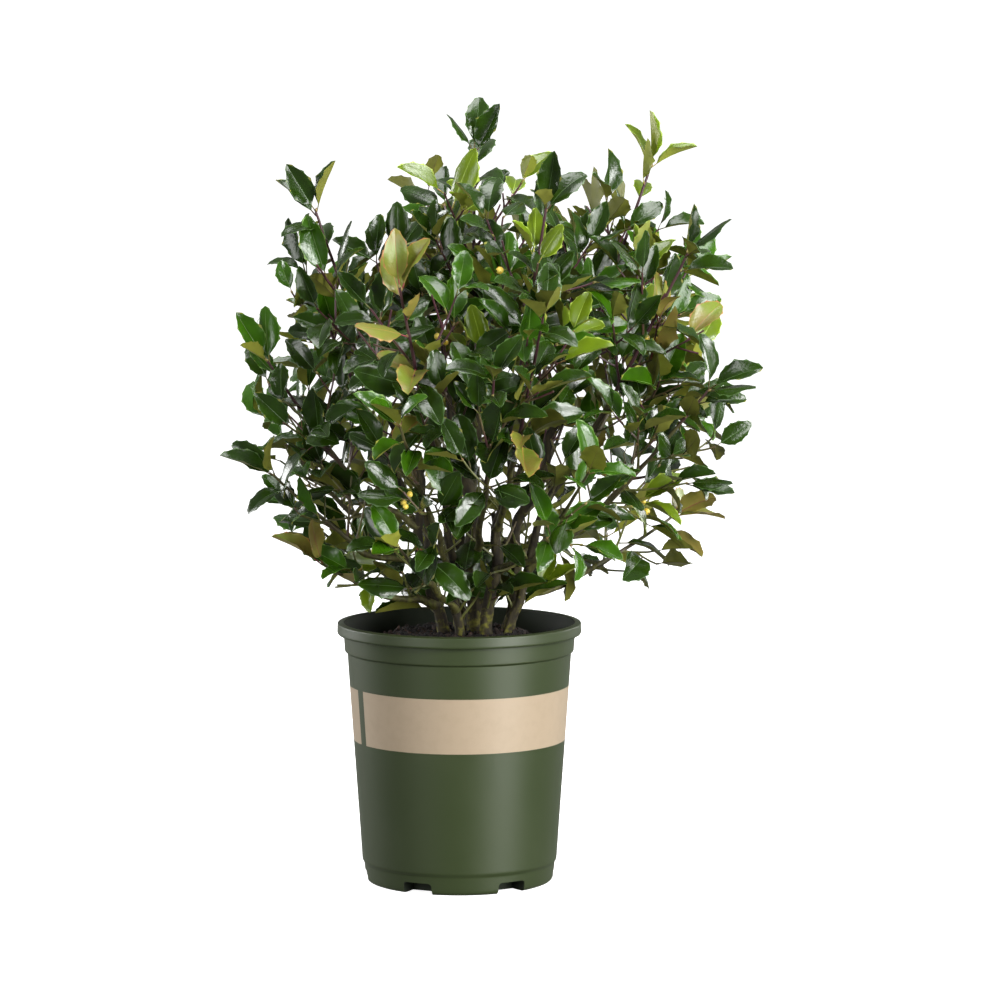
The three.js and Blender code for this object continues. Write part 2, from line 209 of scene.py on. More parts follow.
def closed_tube(
    rings: Sequence[Sequence[Vector]], start: Vector, end: Vector
) -> tuple[list[Vector], list[tuple[int, ...]], list[int]]:
    """Joins rings of points to a closed body.

    Args:
        rings: The rings, which all have the same number of points.
        start: The point that closes the body before the first ring.
        end: The point that closes it after the last.

    Returns:
        Its points, its faces, and for each face the number of the ring before it, from -1.
    """
    sides, last = len(rings[0]), len(rings) - 1
    points = [start, *(point for ring in rings for point in ring), end]
    faces, bands = [], []
    for band in range(-1, len(rings)):
        for s in range(sides):
            a, b = 1 + band * sides + s, 1 + band * sides + (s + 1) % sides
            if band < 0:
                faces.append((0, a + sides, b + sides))
            elif band == last:
                faces.append((a, b, len(points) - 1))
            else:
                faces.append((a, b, b + sides, a + sides))
            bands.append(band)
    return points, faces, bands


def turned(
    outline: Sequence[Span], sides: int, start: float, end: float
) -> tuple[list[Vector], list[tuple[int, ...]], list[int]]:
    """Turns an outline round +X to a closed body.

    Args:
        outline: How far along +X each of its points lies, and how far out.
        sides: How many sides the body has.
        start: Where on +X the body begins.
        end: Where it ends.

    Returns:
        What `closed_tube` returns.
    """
    turns = [math.tau * s / sides for s in range(sides)]
    rings = [[Vector((x, radius * math.cos(t), radius * math.sin(t))) for t in turns] for x, radius in outline]
    return closed_tube(rings, Vector((start, 0, 0)), Vector((end, 0, 0)))


def faces_outwards(mesh: Mesh) -> Mesh:
    """Turns a closed mesh's faces to the outside.

    Args:
        mesh: The mesh.

    Returns:
        The same mesh.
    """
    shell = bmesh.new()
    shell.from_mesh(mesh)
    bmesh.ops.recalc_face_normals(shell, faces=shell.faces)
    shell.to_mesh(mesh)
    shell.free()
    return mesh


def make_plain(piece: Object) -> None:
    """Bakes an object's modifiers into a mesh of its own name.

    Args:
        piece: The object, which has no modifier afterwards.
    """
    evaluated = piece.evaluated_get(bpy.context.evaluated_depsgraph_get())
    before, plain = piece.data, bpy.data.meshes.new_from_object(evaluated)
    piece.modifiers.clear()
    piece.data = plain
    bpy.data.meshes.remove(before)
    plain.name = piece.name


def dressed(
    piece: Object, nodes: Sequence[str] = (), material: Material | None = None
) -> Object:
    """Seats a finished piece in the frame.

    Args:
        piece: The object, with its place in its mesh.
        nodes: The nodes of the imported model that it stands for.
        material: Its finish, where its mesh doesn't hold it yet.

    Returns:
        The same piece.
    """
    if material:
        piece.data.materials.append(material)
    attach(piece, BODY)
    if nodes:
        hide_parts(*nodes)
    return piece


# ==== Patterns and kinds of finish ====


@dataclass(frozen=True)
class Grain:
    """A cloudy pattern on the object's own coordinates."""

    size: float  # how far apart its clouds are
    detail: float = 3  # how many finer patterns lie on it
    stretch: tuple[float, float, float] = (1, 1, 1)  # how much closer it runs along X, Y and Z

    def build(self, tree: NodeTree) -> NodeSocket:
        """Adds the pattern to a material.

        Args:
            tree: The material's tree.

        Returns:
            The pattern's strength, about 0.5 on the whole.
        """
        places = add_node(tree, "ShaderNodeTexCoord").outputs["Object"]
        placed = add_node(tree, "ShaderNodeMapping", {"Vector": places, "Scale": self.stretch})
        inputs = {"Vector": placed.outputs["Vector"], "Scale": 1 / (self.size * METRES), "Detail": self.detail}
        return add_node(tree, "ShaderNodeTexNoise", inputs).outputs["Fac"]


def by_height(
    tree: NodeTree,
    pattern: NodeSocket,
    heights: Span,
    changes: Span,
) -> NodeSocket:
    """Makes a pattern stronger or weaker by the height above the ground.

    Args:
        tree: The material's tree.
        pattern: The pattern's strength.
        heights: Where the change begins and where it ends.
        changes: What is added to the strength up to the one height, and from the other on.

    Returns:
        The new strength.
    """
    places = add_node(tree, "ShaderNodeTexCoord").outputs["Object"]
    height = add_node(tree, "ShaderNodeSeparateXYZ", {"Vector": places}).outputs["Z"]
    begin, finish = (level * METRES for level in heights)
    inputs = {"Value": height, "From Min": begin, "From Max": finish, "To Min": changes[0], "To Max": changes[1]}
    change = add_node(tree, "ShaderNodeMapRange", inputs).outputs["Result"]
    return add_node(tree, "ShaderNodeMath", {0: pattern, 1: change}, operation="ADD").outputs["Value"]


def blended(
    tree: NodeTree,
    share: NodeSocket,
    between: Span,
    low: str | NodeSocket,
    high: str,
) -> NodeSocket:
    """Blends two colours by a pattern.

    Args:
        tree: The material's tree.
        share: The pattern's strength.
        between: The strengths at which the blend begins and ends.
        low: The colour where the pattern is weak.
        high: The colour where it is strong.

    Returns:
        The blended colour.
    """
    inputs = {"Value": share, "From Min": between[0], "From Max": between[1]}
    ramp = add_node(tree, "ShaderNodeMapRange", inputs).outputs["Result"]
    # The colour sockets of a Mix node are its seventh and eighth inputs.
    inputs = {0: ramp, 6: linear(low) if isinstance(low, str) else low, 7: linear(high)}
    return add_node(tree, "ShaderNodeMix", inputs, data_type="RGBA").outputs[2]


@dataclass(frozen=True)
class Finish:
    """What every finish has: a colour that drifts in clouds to a second one, a gloss and bumps."""

    name: str
    colour: str
    roughness: float
    ior: float
    second: str = ""
    clouds: Grain | None = Grain(12)
    between: Span = (0.35, 0.65)  # the clouds' strengths at which the drift begins and ends
    bumps: Grain = Grain(0.9, 2)  # pores are finer, but wouldn't show
    depth: float = 0.06  # of the bumps

    def material(self) -> Material:
        """Builds the finish.

        Returns:
            A material whose shader's own sockets hold what is the same all over.
        """
        made = bpy.data.materials.new(self.name)
        made.use_nodes = True
        tree = made.node_tree
        shader = tree.nodes["Principled BSDF"]
        shader.inputs["Base Color"].default_value = linear(self.colour)
        shader.inputs["Roughness"].default_value = self.roughness
        shader.inputs["IOR"].default_value = self.ior
        self.tone(tree, shader, self.clouds.build(tree) if self.clouds else None)
        relief = {"Height": self.bumps.build(tree), "Distance": self.depth * METRES, "Strength": 1.0}
        raised = add_node(tree, "ShaderNodeBump", relief).outputs["Normal"]
        tree.links.new(raised, shader.inputs["Normal"])
        return made

    def tone(self, tree: NodeTree, shader: Node, clouds: NodeSocket | None) -> None:
        """Gives the surface its two colours, where the clouds' strength says."""
        colour = blended(tree, clouds, self.between, self.colour, self.second)
        tree.links.new(colour, shader.inputs["Base Color"])


@dataclass(frozen=True)
class MouldedPolypropylene(Finish):
    """Injection-moulded polypropylene: an even olive green with a soft, slightly pebbled gloss and a dusty haze."""

    clouds: Grain = Grain(70, 6)
    between: Span = (0.5, 1.5)
    bumps: Grain = Grain(1.6, 2)  # the mould's pebble is finer, but wouldn't show
    depth: float = 0.02
    dulling: Span = (-0.06, 0.08)  # change of roughness where the haze is thin and thick

    def tone(self, tree: NodeTree, shader: Node, clouds: NodeSocket) -> None:
        """Adds the haze, and the gloss that it dulls.

        Args:
            tree: The material's tree.
            shader: Its shader.
            clouds: The haze's strength.
        """
        super().tone(tree, shader, clouds)
        low, high = (self.roughness + change for change in self.dulling)
        gloss = add_node(tree, "ShaderNodeMapRange", {"Value": clouds, "To Min": low, "To Max": high})
        tree.links.new(gloss.outputs["Result"], shader.inputs["Roughness"])


@dataclass(frozen=True)
class PrintedFilm(Finish):
    """Opaque ink on the pot's wall: smooth and even, faintly mottled, with the wall's pebble showing through."""

    clouds: Grain = Grain(9, 5)
    between: Span = (0.45, 0.9)
    bumps: Grain = Grain(1.6, 2)
    depth: float = 0.015


@dataclass(frozen=True)
class CompostedBark(Finish):
    """Moist composted bark: nearly black crumbs, patches of red-brown fibre, and a matt surface."""

    clouds: Grain = Grain(5, 4)
    between: Span = (0.5, 0.72)
    bumps: Grain = Grain(2.6, 6)
    depth: float = 0.9


@dataclass(frozen=True)
class HollyBark(Finish):
    """Smooth holly bark: grey-brown over olive, finely streaked along the limb, with yellow-green moss low down."""

    clouds: Grain = Grain(5, 6, (1, 1, 0.25))
    between: Span = (0.38, 0.68)
    bumps: Grain = Grain(2.4, 7, (1, 1, 0.5))
    depth: float = 0.8
    moss: str = "#66641f"
    moss_share: float = 0.33
    moss_top: float = 330.0  # height above the ground at which the moss has died out

    def tone(self, tree: NodeTree, shader: Node, clouds: NodeSocket) -> None:
        """Adds streaks, and moss that thins out upwards.

        Args:
            tree: The material's tree.
            shader: Its shader.
            clouds: The streaks' strength.
        """
        wood = blended(tree, clouds, self.between, self.colour, self.second)
        patches = by_height(tree, Grain(6, 8).build(tree), (MIX_LEVEL, self.moss_top), (self.moss_share, 0.0))
        tree.links.new(blended(tree, patches, (0.78, 0.98), wood, self.moss), shader.inputs["Base Color"])


@dataclass(frozen=True)
class WaxyBlade(Finish):
    """The upper side of a holly leaf: deep green under a clear wax, with a broad gloss that low quilting breaks up."""

    clouds: Grain = Grain(26, 2)
    between: Span = (0.35, 0.75)
    bumps: Grain = Grain(2.6, 5)
    depth: float = 0.3


@dataclass(frozen=True)
class MattBlade(Finish):
    """The under side of a holly leaf: paler and yellower than the upper, faintly veined, with no wax."""

    clouds: Grain = Grain(14, 4)
    between: Span = (0.4, 0.8)
    bumps: Grain = Grain(1.5)
    depth: float = 0.08


@dataclass(frozen=True)
class Skin(Finish):
    """A living skin with patches of a second tint and fine pores, such as that of a stalk, a bud or a berry."""


@dataclass(frozen=True)
class ShootSkin(Finish):
    """The smooth skin of a young shoot: olive in the shade low down, tanned in patches towards the sun."""

    between: Span = (0.4, 0.62)
    tan_heights: Span = (300.0, 560.0)  # above the ground: where the tan begins and where it is full

    def tone(self, tree: NodeTree, shader: Node, clouds: NodeSocket) -> None:
        """Adds the tan, which grows with height."""
        super().tone(tree, shader, by_height(tree, clouds, self.tan_heights, (-0.18, 0.2)))


@dataclass(frozen=True)
class PaleFloor(Finish):
    """A seamless studio floor: translucent white sheet of one colour and a faint tooth, lit from below too."""

    clouds: Grain | None = None
    bumps: Grain = Grain(4, 2)  # the tooth of a sheet is finer, but wouldn't show
    depth: float = 0.02
    glow: float = 0.3

    def tone(self, tree: NodeTree, shader: Node, clouds: None) -> None:
        """Adds the light that comes through the sheet."""
        shader.inputs["Emission Color"].default_value = (1, 1, 1, 1)
        shader.inputs["Emission Strength"].default_value = self.glow


# ==== Limbs and the plan of the plant ====


class Limb:
    """A stem, bough or twig that tapers along a curve. A place on it is a share of its length."""

    ARC_SAMPLES = 60
    SWAY_LENGTH = 62.0

    def __init__(
        self,
        start: Vector,
        bend: Vector,
        end: Vector,
        diameter: float,
        tip_diameter: float,
        steps: int,
        foot_flare: float = 1.0,
        sway: float = 0.0,
    ) -> None:
        """Lays the limb along the curve from start to end that bends at a third point.

        Args:
            start: Its foot.
            bend: The point that the curve is drawn towards.
            end: Its tip.
            diameter: At the foot, without the flare.
            tip_diameter: At the tip.
            steps: How many pieces its rings part it into.
            foot_flare: How many times wider the foot is by its flare.
            sway: How far it strays from the curve between its ends.
        """
        self.diameter, self.tip_diameter, self.foot_flare = diameter, tip_diameter, foot_flare
        self.steps = steps
        t = np.linspace(0, 1, self.ARC_SAMPLES + 1)[:, None]
        a, b, c = (np.array(p) for p in (start, bend, end))
        line = (1 - t) ** 2 * a + 2 * t * (1 - t) * b + t**2 * c
        if sway:
            places = [Vector((*end.xy, along * (end - start).length)) / self.SWAY_LENGTH for along in t[:, 0]]
            strays = np.array([noise.noise_vector(place) for place in places])
            line += sway * strays * np.clip(5 * np.minimum(t, 1 - t), 0, 1)
        lengths = np.concatenate([[0], np.cumsum(np.linalg.norm(np.diff(line, axis=0), axis=1))])
        self.length = float(lengths[-1])
        self._shares = lengths / self.length
        self._line, self._headings = line.T, np.gradient(line, axis=0).T
        self._normals = self._ring_normals()

    def point_at(self, place: float) -> Vector:
        """The point of the middle line at a place."""
        return Vector(np.interp(place, self._shares, axis) for axis in self._line)

    def heading_at(self, place: float) -> Vector:
        """The direction in which the limb runs at a place."""
        return Vector(np.interp(place, self._shares, axis) for axis in self._headings).normalized()

    def _ring_normals(self) -> list[Vector]:
        """Carries a direction across the limb along the curve without twist.

        Returns:
            The direction at each ring.
        """
        headings = [self.heading_at(i / self.steps) for i in range(self.steps + 1)]
        first = headings[0]
        flattest = min(range(3), key=lambda k: (abs(first[k]), -k))
        sideways = first.cross(Matrix.Identity(3)[flattest]).normalized()
        normals = [first.cross(sideways)]
        for before, after in zip(headings, headings[1:]):
            turn = before.rotation_difference(after)
            normals.append(turn @ normals[-1])
        return normals

    def across_at(self, place: float) -> tuple[Vector, Vector]:
        """Finds two directions across the limb, square to each other.

        Args:
            place: Where on the limb.

        Returns:
            Both directions.
        """
        ring = min(int(place * self.steps), self.steps)
        heading = self.heading_at(place)
        normal = self._normals[ring]
        normal = (normal - heading * normal.dot(heading)).normalized()
        return normal, heading.cross(normal)

    def diameter_at(self, place: float) -> float:
        """The diameter at a place. The foot's flare dies out over the first tenth."""
        foot = max(0.0, 1 - place * 10)
        return mix(self.diameter, self.tip_diameter, place) * (1 + (self.foot_flare - 1) * foot * foot)

    def opened_at(self, place: float, angle: float, turn: float) -> Vector:
        """A direction that opens from the limb.

        Args:
            place: Where on the limb.
            angle: How far it opens.
            turn: Where it stands round the limb.

        Returns:
            The direction, of length 1.
        """
        normal, binormal = self.across_at(place)
        open_by, stand = math.radians(angle), math.radians(turn)
        outwards = normal * math.cos(stand) + binormal * math.sin(stand)
        return self.heading_at(place) * math.cos(open_by) + outwards * math.sin(open_by)


@dataclass(frozen=True)
class Mass:
    """The seat of one mass of foliage: where its leading twig begins, heads and ends."""

    name: str
    start: Vector
    direction: Vector
    length: float


@dataclass(frozen=True)
class Crown:
    """The crown's reach, measured from the fan point on the mix. It grows with the angle at which a bough rises."""

    fan_point: Vector = field(default_factory=lambda: Vector((15, 0, 236.3)))
    level_reach: float = 139
    top_reach: float = 495
    top_rise: float = 69
    bare_level: float = 260
    lean: float = 0.12
    depth: float = 0.95
    unevenness: float = 0.04
    sway: float = 7
    mass_start: float = 0.5
    solid_leaf: float = 68

    def towards(self, bearing: float, rise: float) -> Vector:
        """The direction of a bearing and a rise, both in degrees."""
        b, r = math.radians(bearing), math.radians(rise)
        return Vector((math.cos(b) * math.cos(r), math.sin(b) * math.cos(r), math.sin(r)))

    def reach(self, bearing: float, rise: float) -> float:
        """Finds how far the crown reaches from the fan point.

        Args:
            bearing: Degrees from +X towards +Y.
            rise: Degrees above level.

        Returns:
            The reach in that direction.
        """
        b, r = math.radians(bearing), math.radians(rise)
        width = math.hypot(math.cos(b), self.depth * math.sin(b))
        side = 1 + self.lean * math.cos(b) * math.cos(r)
        height = mix(self.level_reach, self.top_reach, min(1, rise / self.top_rise))
        return height * width ** math.cos(r) * side

    def seat(self, name: str, bearing: float, rise: float, chance: Chance) -> Mass:
        """Seats a mass near a bearing and a rise.

        Args:
            name: The mass's name.
            bearing: Degrees from +X towards +Y.
            rise: Degrees above level.
            chance: Gives seeded numbers.

        Returns:
            The mass.
        """
        swayed = bearing + self.sway * (2 * chance() - 1)
        direction = self.towards(swayed, rise + self.sway / 3 * (2 * chance() - 1))
        reach = self.reach(swayed, rise) * (1 + self.unevenness * (2 * chance() - 1))
        start = self.fan_point + direction * (reach * self.mass_start)
        return Mass(name, start, direction, reach * (1 - self.mass_start) - self.solid_leaf)

    def share_of_reach(self, point: Vector) -> float:
        """Compares a point's distance from the fan point with the crown's reach.

        Args:
            point: The point.

        Returns:
            The distance, as a share of the reach in its direction.
        """
        offset = point - self.fan_point
        bearing = math.degrees(math.atan2(offset.y, offset.x))
        rise = math.degrees(math.atan2(offset.z, math.hypot(offset.x, offset.y)))
        return offset.length / self.reach(bearing, max(0.0, rise))


@dataclass(frozen=True)
class PlannedLimb:
    """A stem or bough by its name, and the stem that a bough leaves."""

    name: str
    limb: Limb
    stem: Limb | None = None


@dataclass
class ShrubPlan:
    """The stems, boughs and masses of the shrub, in the order and with the chances of its solids."""

    crown: Crown = field(default_factory=Crown)
    seed: int = 7
    ring_count: int = 8
    ring_radius: float = 30
    ring_turn: float = 22
    bare_below: tuple[int, int] = (6, 7)
    middle_diameter: float = 20
    tall_diameter: float = 12
    short_diameter: float = 9
    stem_tip_diameter: float = 5.4
    stem_flare: float = 1.3
    bough_thickness: float = 0.72
    bough_max_diameter: float = 9
    bough_tip_diameter: float = 5
    stem_steps: int = 90
    stem_sway: float = 15
    bough_steps: int = 40
    bough_sway: float = 10
    # Each tier's rise on a tall and on a short stem, and where its boughs fork. Only tall stems bear a top.
    tiers: tuple[tuple[str, float, float | None, float], ...] = (
        ("skirt", 22, 26, 0.16),
        ("flank", 37, 42, 0.32),
        ("shoulder", 53, 59, 0.48),
        ("top", 68, None, 1.0),
    )
    middle_boughs: tuple[tuple[str, float, float, float], ...] = (("front", -92, 49, 0.3), ("back", 88, 49, 0.36))
    stems: list[PlannedLimb] = field(default_factory=list)
    boughs: list[PlannedLimb] = field(default_factory=list)
    masses: list[Mass] = field(default_factory=list)

    def __post_init__(self) -> None:
        """Lays out the whole plant."""
        chance = seeded(self.seed)
        mass = self._add_mass("foliage_middle", 0, 90, chance)
        middle = self._add_stem("stem_middle", 0, 0, mass, self.middle_diameter)
        for name, bearing, rise, fork in self.middle_boughs:
            self._add_bough(f"bough_{name}", middle, fork, self._add_mass(f"foliage_{name}", bearing, rise, chance))
        for i in range(self.ring_count):
            tall = i % 2 == 0
            bearing = self.ring_turn + i * 360 / self.ring_count
            tiers = [
                (name, tall_rise if tall else short_rise, fork)
                for name, tall_rise, short_rise, fork in self.tiers
                if (tall or short_rise is not None) and not (name == "skirt" and i in self.bare_below)
            ]
            foot_bearing = bearing + self.crown.sway * (2 * chance() - 1)
            name, rise, _ = tiers.pop()
            tip_mass = self._add_mass(f"foliage_{name}_{i + 1}", bearing, rise, chance)
            diameter = self.tall_diameter if tall else self.short_diameter
            stem = self._add_stem(f"stem_{i + 1}", foot_bearing, self.ring_radius, tip_mass, diameter)
            for name, rise, fork in tiers:
                mass = self._add_mass(f"foliage_{name}_{i + 1}", bearing, rise, chance)
                self._add_bough(f"bough_{name}_{i + 1}", stem, fork, mass)

    def _add_mass(self, name: str, bearing: float, rise: float, chance: Chance) -> Mass:
        """Seats a mass and keeps it.

        Args:
            name: The mass's name.
            bearing: Degrees from +X towards +Y.
            rise: Degrees above level.
            chance: Gives seeded numbers.

        Returns:
            The mass.
        """
        mass = self.crown.seat(name, bearing, rise, chance)
        self.masses.append(mass)
        return mass

    def _limb_to(self, mass: Mass, start: Vector, *sizes: float) -> Limb:
        """A limb that ends where a mass begins, pointing the way that the mass heads."""
        bend = mass.start - mass.direction * (0.5 * (mass.start - start).length)
        return Limb(start, bend, mass.start, *sizes)

    def _add_stem(self, name: str, bearing: float, distance: float, mass: Mass, diameter: float) -> Limb:
        """Plants a stem whose foot is sunk in the mix by its own thickness.

        Args:
            name: The stem's name.
            bearing: Where its foot stands round the fan point.
            distance: How far from it.
            mass: What it ends in.
            diameter: At the foot.

        Returns:
            The stem.
        """
        foot = self.crown.fan_point + self.crown.towards(bearing, 0) * distance - UP * diameter
        sizes = (diameter, self.stem_tip_diameter, self.stem_steps, self.stem_flare, self.stem_sway)
        limb = self._limb_to(mass, foot, *sizes)
        self.stems.append(PlannedLimb(name, limb))
        return limb

    def _add_bough(self, name: str, stem: Limb, fork: float, mass: Mass) -> None:
        """Forks a bough from a stem.

        Args:
            name: The bough's name.
            stem: The stem.
            fork: Where on the stem.
            mass: What it ends in.
        """
        diameter = min(stem.diameter_at(fork) * self.bough_thickness, self.bough_max_diameter)
        sizes = (diameter, self.bough_tip_diameter, self.bough_steps, 1.0, self.bough_sway)
        limb = self._limb_to(mass, stem.point_at(fork), *sizes)
        self.boughs.append(PlannedLimb(name, limb, stem))


# ==== Geometry Nodes ====


class GrowthTree:
    """A Geometry Nodes tree with named inputs, which turns points, lines or a surface into a finished piece."""

    def __init__(self, name: str, sizes: dict[str, tuple[str, object]]) -> None:
        """Starts the tree.

        Args:
            name: The tree's name.
            sizes: For each named input, its socket type and its value, or None.
        """
        self.tree = bpy.data.node_groups.new(name, "GeometryNodeTree")
        sockets = self.tree.interface
        sockets.new_socket("Geometry", in_out="OUTPUT", socket_type="NodeSocketGeometry")
        sockets.new_socket("Geometry", in_out="INPUT", socket_type="NodeSocketGeometry")
        for size, (kind, value) in sizes.items():
            socket = sockets.new_socket(size, in_out="INPUT", socket_type=kind)
            if value is not None:
                socket.default_value = value
        self.given = self.add("NodeGroupInput").outputs

    def add(self, kind: str, inputs: Inputs | None = None, **settings: object) -> Node:
        """Adds a node to the tree."""
        return add_node(self.tree, kind, inputs, **settings)

    def attribute(self, name: str, kind: str) -> NodeSocket:
        """Reads an attribute of the geometry by its name."""
        return self.add("GeometryNodeInputNamedAttribute", {"Name": name}, data_type=kind).outputs["Attribute"]

    def scaled(self, name: str, size: str) -> NodeSocket:
        """The number in an attribute, times one of the named inputs."""
        factors = {0: self.attribute(name, "FLOAT"), 1: self.given[size]}
        return self.add("ShaderNodeMath", factors, operation="MULTIPLY").outputs["Value"]

    def seat_forms(
        self,
        points: NodeSocket,
        turn: NodeSocket,
        size: NodeSocket,
        form: NodeSocket | None = None,
    ) -> NodeSocket:
        """Puts one of the collection in the input Forms on each point.

        Args:
            points: The points.
            turn: The Euler angles of each.
            size: The size of each.
            form: The number of the form for each, or None for all in turn.

        Returns:
            The seated forms.
        """
        choice = {"Collection": self.given["Forms"], "Separate Children": True, "Reset Children": True}
        inputs = {
            "Points": points,
            "Instance": self.add("GeometryNodeCollectionInfo", choice).outputs[0],
            "Pick Instance": True,
            "Rotation": self.add("FunctionNodeEulerToRotation", {"Euler": turn}).outputs["Rotation"],
            "Scale": size,
        }
        if form is not None:
            inputs["Instance Index"] = form
        return self.add("GeometryNodeInstanceOnPoints", inputs).outputs["Instances"]

    def end(self, geometry: NodeSocket, finishes: Sequence[Material]) -> None:
        """Ends the tree: makes the geometry real and gives each part of it its finish.

        Args:
            geometry: The finished shape.
            finishes: The finish of each part, by the number in the faces' "part" attribute.
        """
        whole = self.add("GeometryNodeRealizeInstances", {"Geometry": geometry}).outputs["Geometry"]
        part = self.attribute("part", "INT")
        for number, finish in enumerate(finishes):
            # The whole-number sockets of a Compare node are its third and fourth inputs.
            chosen = self.add("FunctionNodeCompare", {2: part, 3: number}, data_type="INT", operation="EQUAL")
            inputs = {"Geometry": whole, "Selection": chosen.outputs["Result"], "Material": finish}
            whole = self.add("GeometryNodeSetMaterial", inputs).outputs["Geometry"]
        self.add("NodeGroupOutput", {"Geometry": whole})

    def grow(self, name: str, mesh: Mesh, sizes: dict[str, object] | None = None) -> Object:
        """Runs the tree on a mesh.

        Args:
            name: The name of the piece.
            mesh: What it grows on.
            sizes: The values of named inputs.

        Returns:
            An object that holds the plain result, with no modifier.
        """
        piece = mesh_object(name, mesh)
        modifier = piece.modifiers.new(self.tree.name, "NODES")
        modifier.node_group = self.tree
        for item in self.tree.interface.items_tree:
            if item.in_out == "INPUT" and item.name in (sizes or {}):
                modifier[item.identifier] = sizes[item.name]
        bpy.context.view_layer.update()
        make_plain(piece)
        return piece


def tube_tree(finish: Material) -> GrowthTree:
    """A tree that gives lines a round thickness, by their points' "radius".

    Args:
        finish: The finish of the tubes.

    Returns:
        The tree, with the inputs Sides and Thickness.
    """
    made = GrowthTree("tubes", {"Sides": ("NodeSocketInt", 6), "Thickness": ("NodeSocketFloat", 1.0)})
    ring = made.add("GeometryNodeCurvePrimitiveCircle", {"Resolution": made.given["Sides"], "Radius": 1.0})
    lines = made.add("GeometryNodeMeshToCurve", {"Mesh": made.given["Geometry"]})
    inputs = {
        "Curve": lines.outputs["Curve"],
        "Profile Curve": ring.outputs["Curve"],
        "Scale": made.scaled("radius", "Thickness"),
        "Fill Caps": True,
    }
    made.end(made.add("GeometryNodeCurveToMesh", inputs).outputs["Mesh"], [finish])
    return made


def sprig_tree(name: str, forms: Collection, finishes: Sequence[Material]) -> GrowthTree:
    """A tree that puts one of several forms on each point, by its "form", "turn" and "size".

    Args:
        name: The tree's name.
        forms: The forms, in the order of their names.
        finishes: The finish of each part of a form.

    Returns:
        The tree, with the inputs Forms and Growth.
    """
    made = GrowthTree(name, {"Forms": ("NodeSocketCollection", forms), "Growth": ("NodeSocketFloat", 1.0)})
    turn, form = made.attribute("turn", "FLOAT_VECTOR"), made.attribute("form", "INT")
    made.end(made.seat_forms(made.given["Geometry"], turn, made.scaled("size", "Growth"), form), finishes)
    return made


def litter_tree(forms: Collection, finishes: Sequence[Material], seed: int) -> GrowthTree:
    """A tree that strews loose bits over a surface.

    Args:
        forms: The bits' forms.
        finishes: The finish of each part of a form.
        seed: Fixes where they lie and how they are turned.

    Returns:
        The tree, with the inputs Forms, Density, Smallest, Largest and Seed.
    """
    sizes = {
        "Forms": ("NodeSocketCollection", forms),
        "Density": ("NodeSocketFloat", 10.0),
        "Smallest": ("NodeSocketFloat", 1.0),
        "Largest": ("NodeSocketFloat", 2.0),
        "Seed": ("NodeSocketInt", seed),
    }
    made = GrowthTree("litter", sizes)
    given, round_about = made.given, (math.tau, math.tau, math.tau)
    strewn = {"Mesh": given["Geometry"], "Density": given["Density"], "Seed": given["Seed"]}
    points = made.add("GeometryNodeDistributePointsOnFaces", strewn).outputs["Points"]
    # The vector sockets of a Random Value node come first, and its single-number sockets follow.
    turns = {0: (0, 0, 0), 1: round_about, "Seed": given["Seed"]}
    turn = made.add("FunctionNodeRandomValue", turns, data_type="FLOAT_VECTOR").outputs[0]
    spans = {2: given["Smallest"], 3: given["Largest"], "Seed": seed + 1}
    size = made.add("FunctionNodeRandomValue", spans, data_type="FLOAT").outputs[1]
    made.end(made.seat_forms(points, turn, size), finishes)
    return made


def form_collection(name: str, meshes: Sequence[Mesh]) -> Collection:
    """Keeps forms outside the scene, where a tree picks them by number.

    Args:
        name: The collection's name.
        meshes: The forms, in order.

    Returns:
        The collection.
    """
    forms = bpy.data.collections.new(name)
    for number, mesh in enumerate(meshes):
        forms.objects.link(bpy.data.objects.new(f"{name}_{number:02d}", mesh))
    return forms


def put_away(forms: Collection) -> None:
    """Removes forms that no tree needs any more.

    Args:
        forms: Their collection, which goes too.
    """
    for form in list(forms.objects):
        bpy.data.objects.remove(form)
    bpy.data.collections.remove(forms)


def with_parts(mesh: Mesh, parts: Sequence[int]) -> Mesh:
    """Writes the part number of each face into a form's mesh and turns its faces outwards."""
    write_attribute(mesh, "part", "INT", parts, "FACE")
    return faces_outwards(mesh)


# ==== Forms of leaves, berries, buds and crumbs ====


class LeafPart(Enum):
    """The parts of a leaf, by the number in its faces' "part". The margin counts as rib."""

    BLADE = 0
    RIB = 1
    UNDERSIDE = 2
    STALK = 3


@dataclass(frozen=True)
class LeafForm:
    """One way in which a leaf is bent. Angles are in degrees, other sizes are shares of the leaf's length."""

    fold: float  # by which each half rises from the midrib
    curl: float  # through which the midrib bends down
    twist: float = 0.0
    droop: float = 0.0  # of the rim, against half the width
    wave: float = 0.0  # rise and fall of the rim


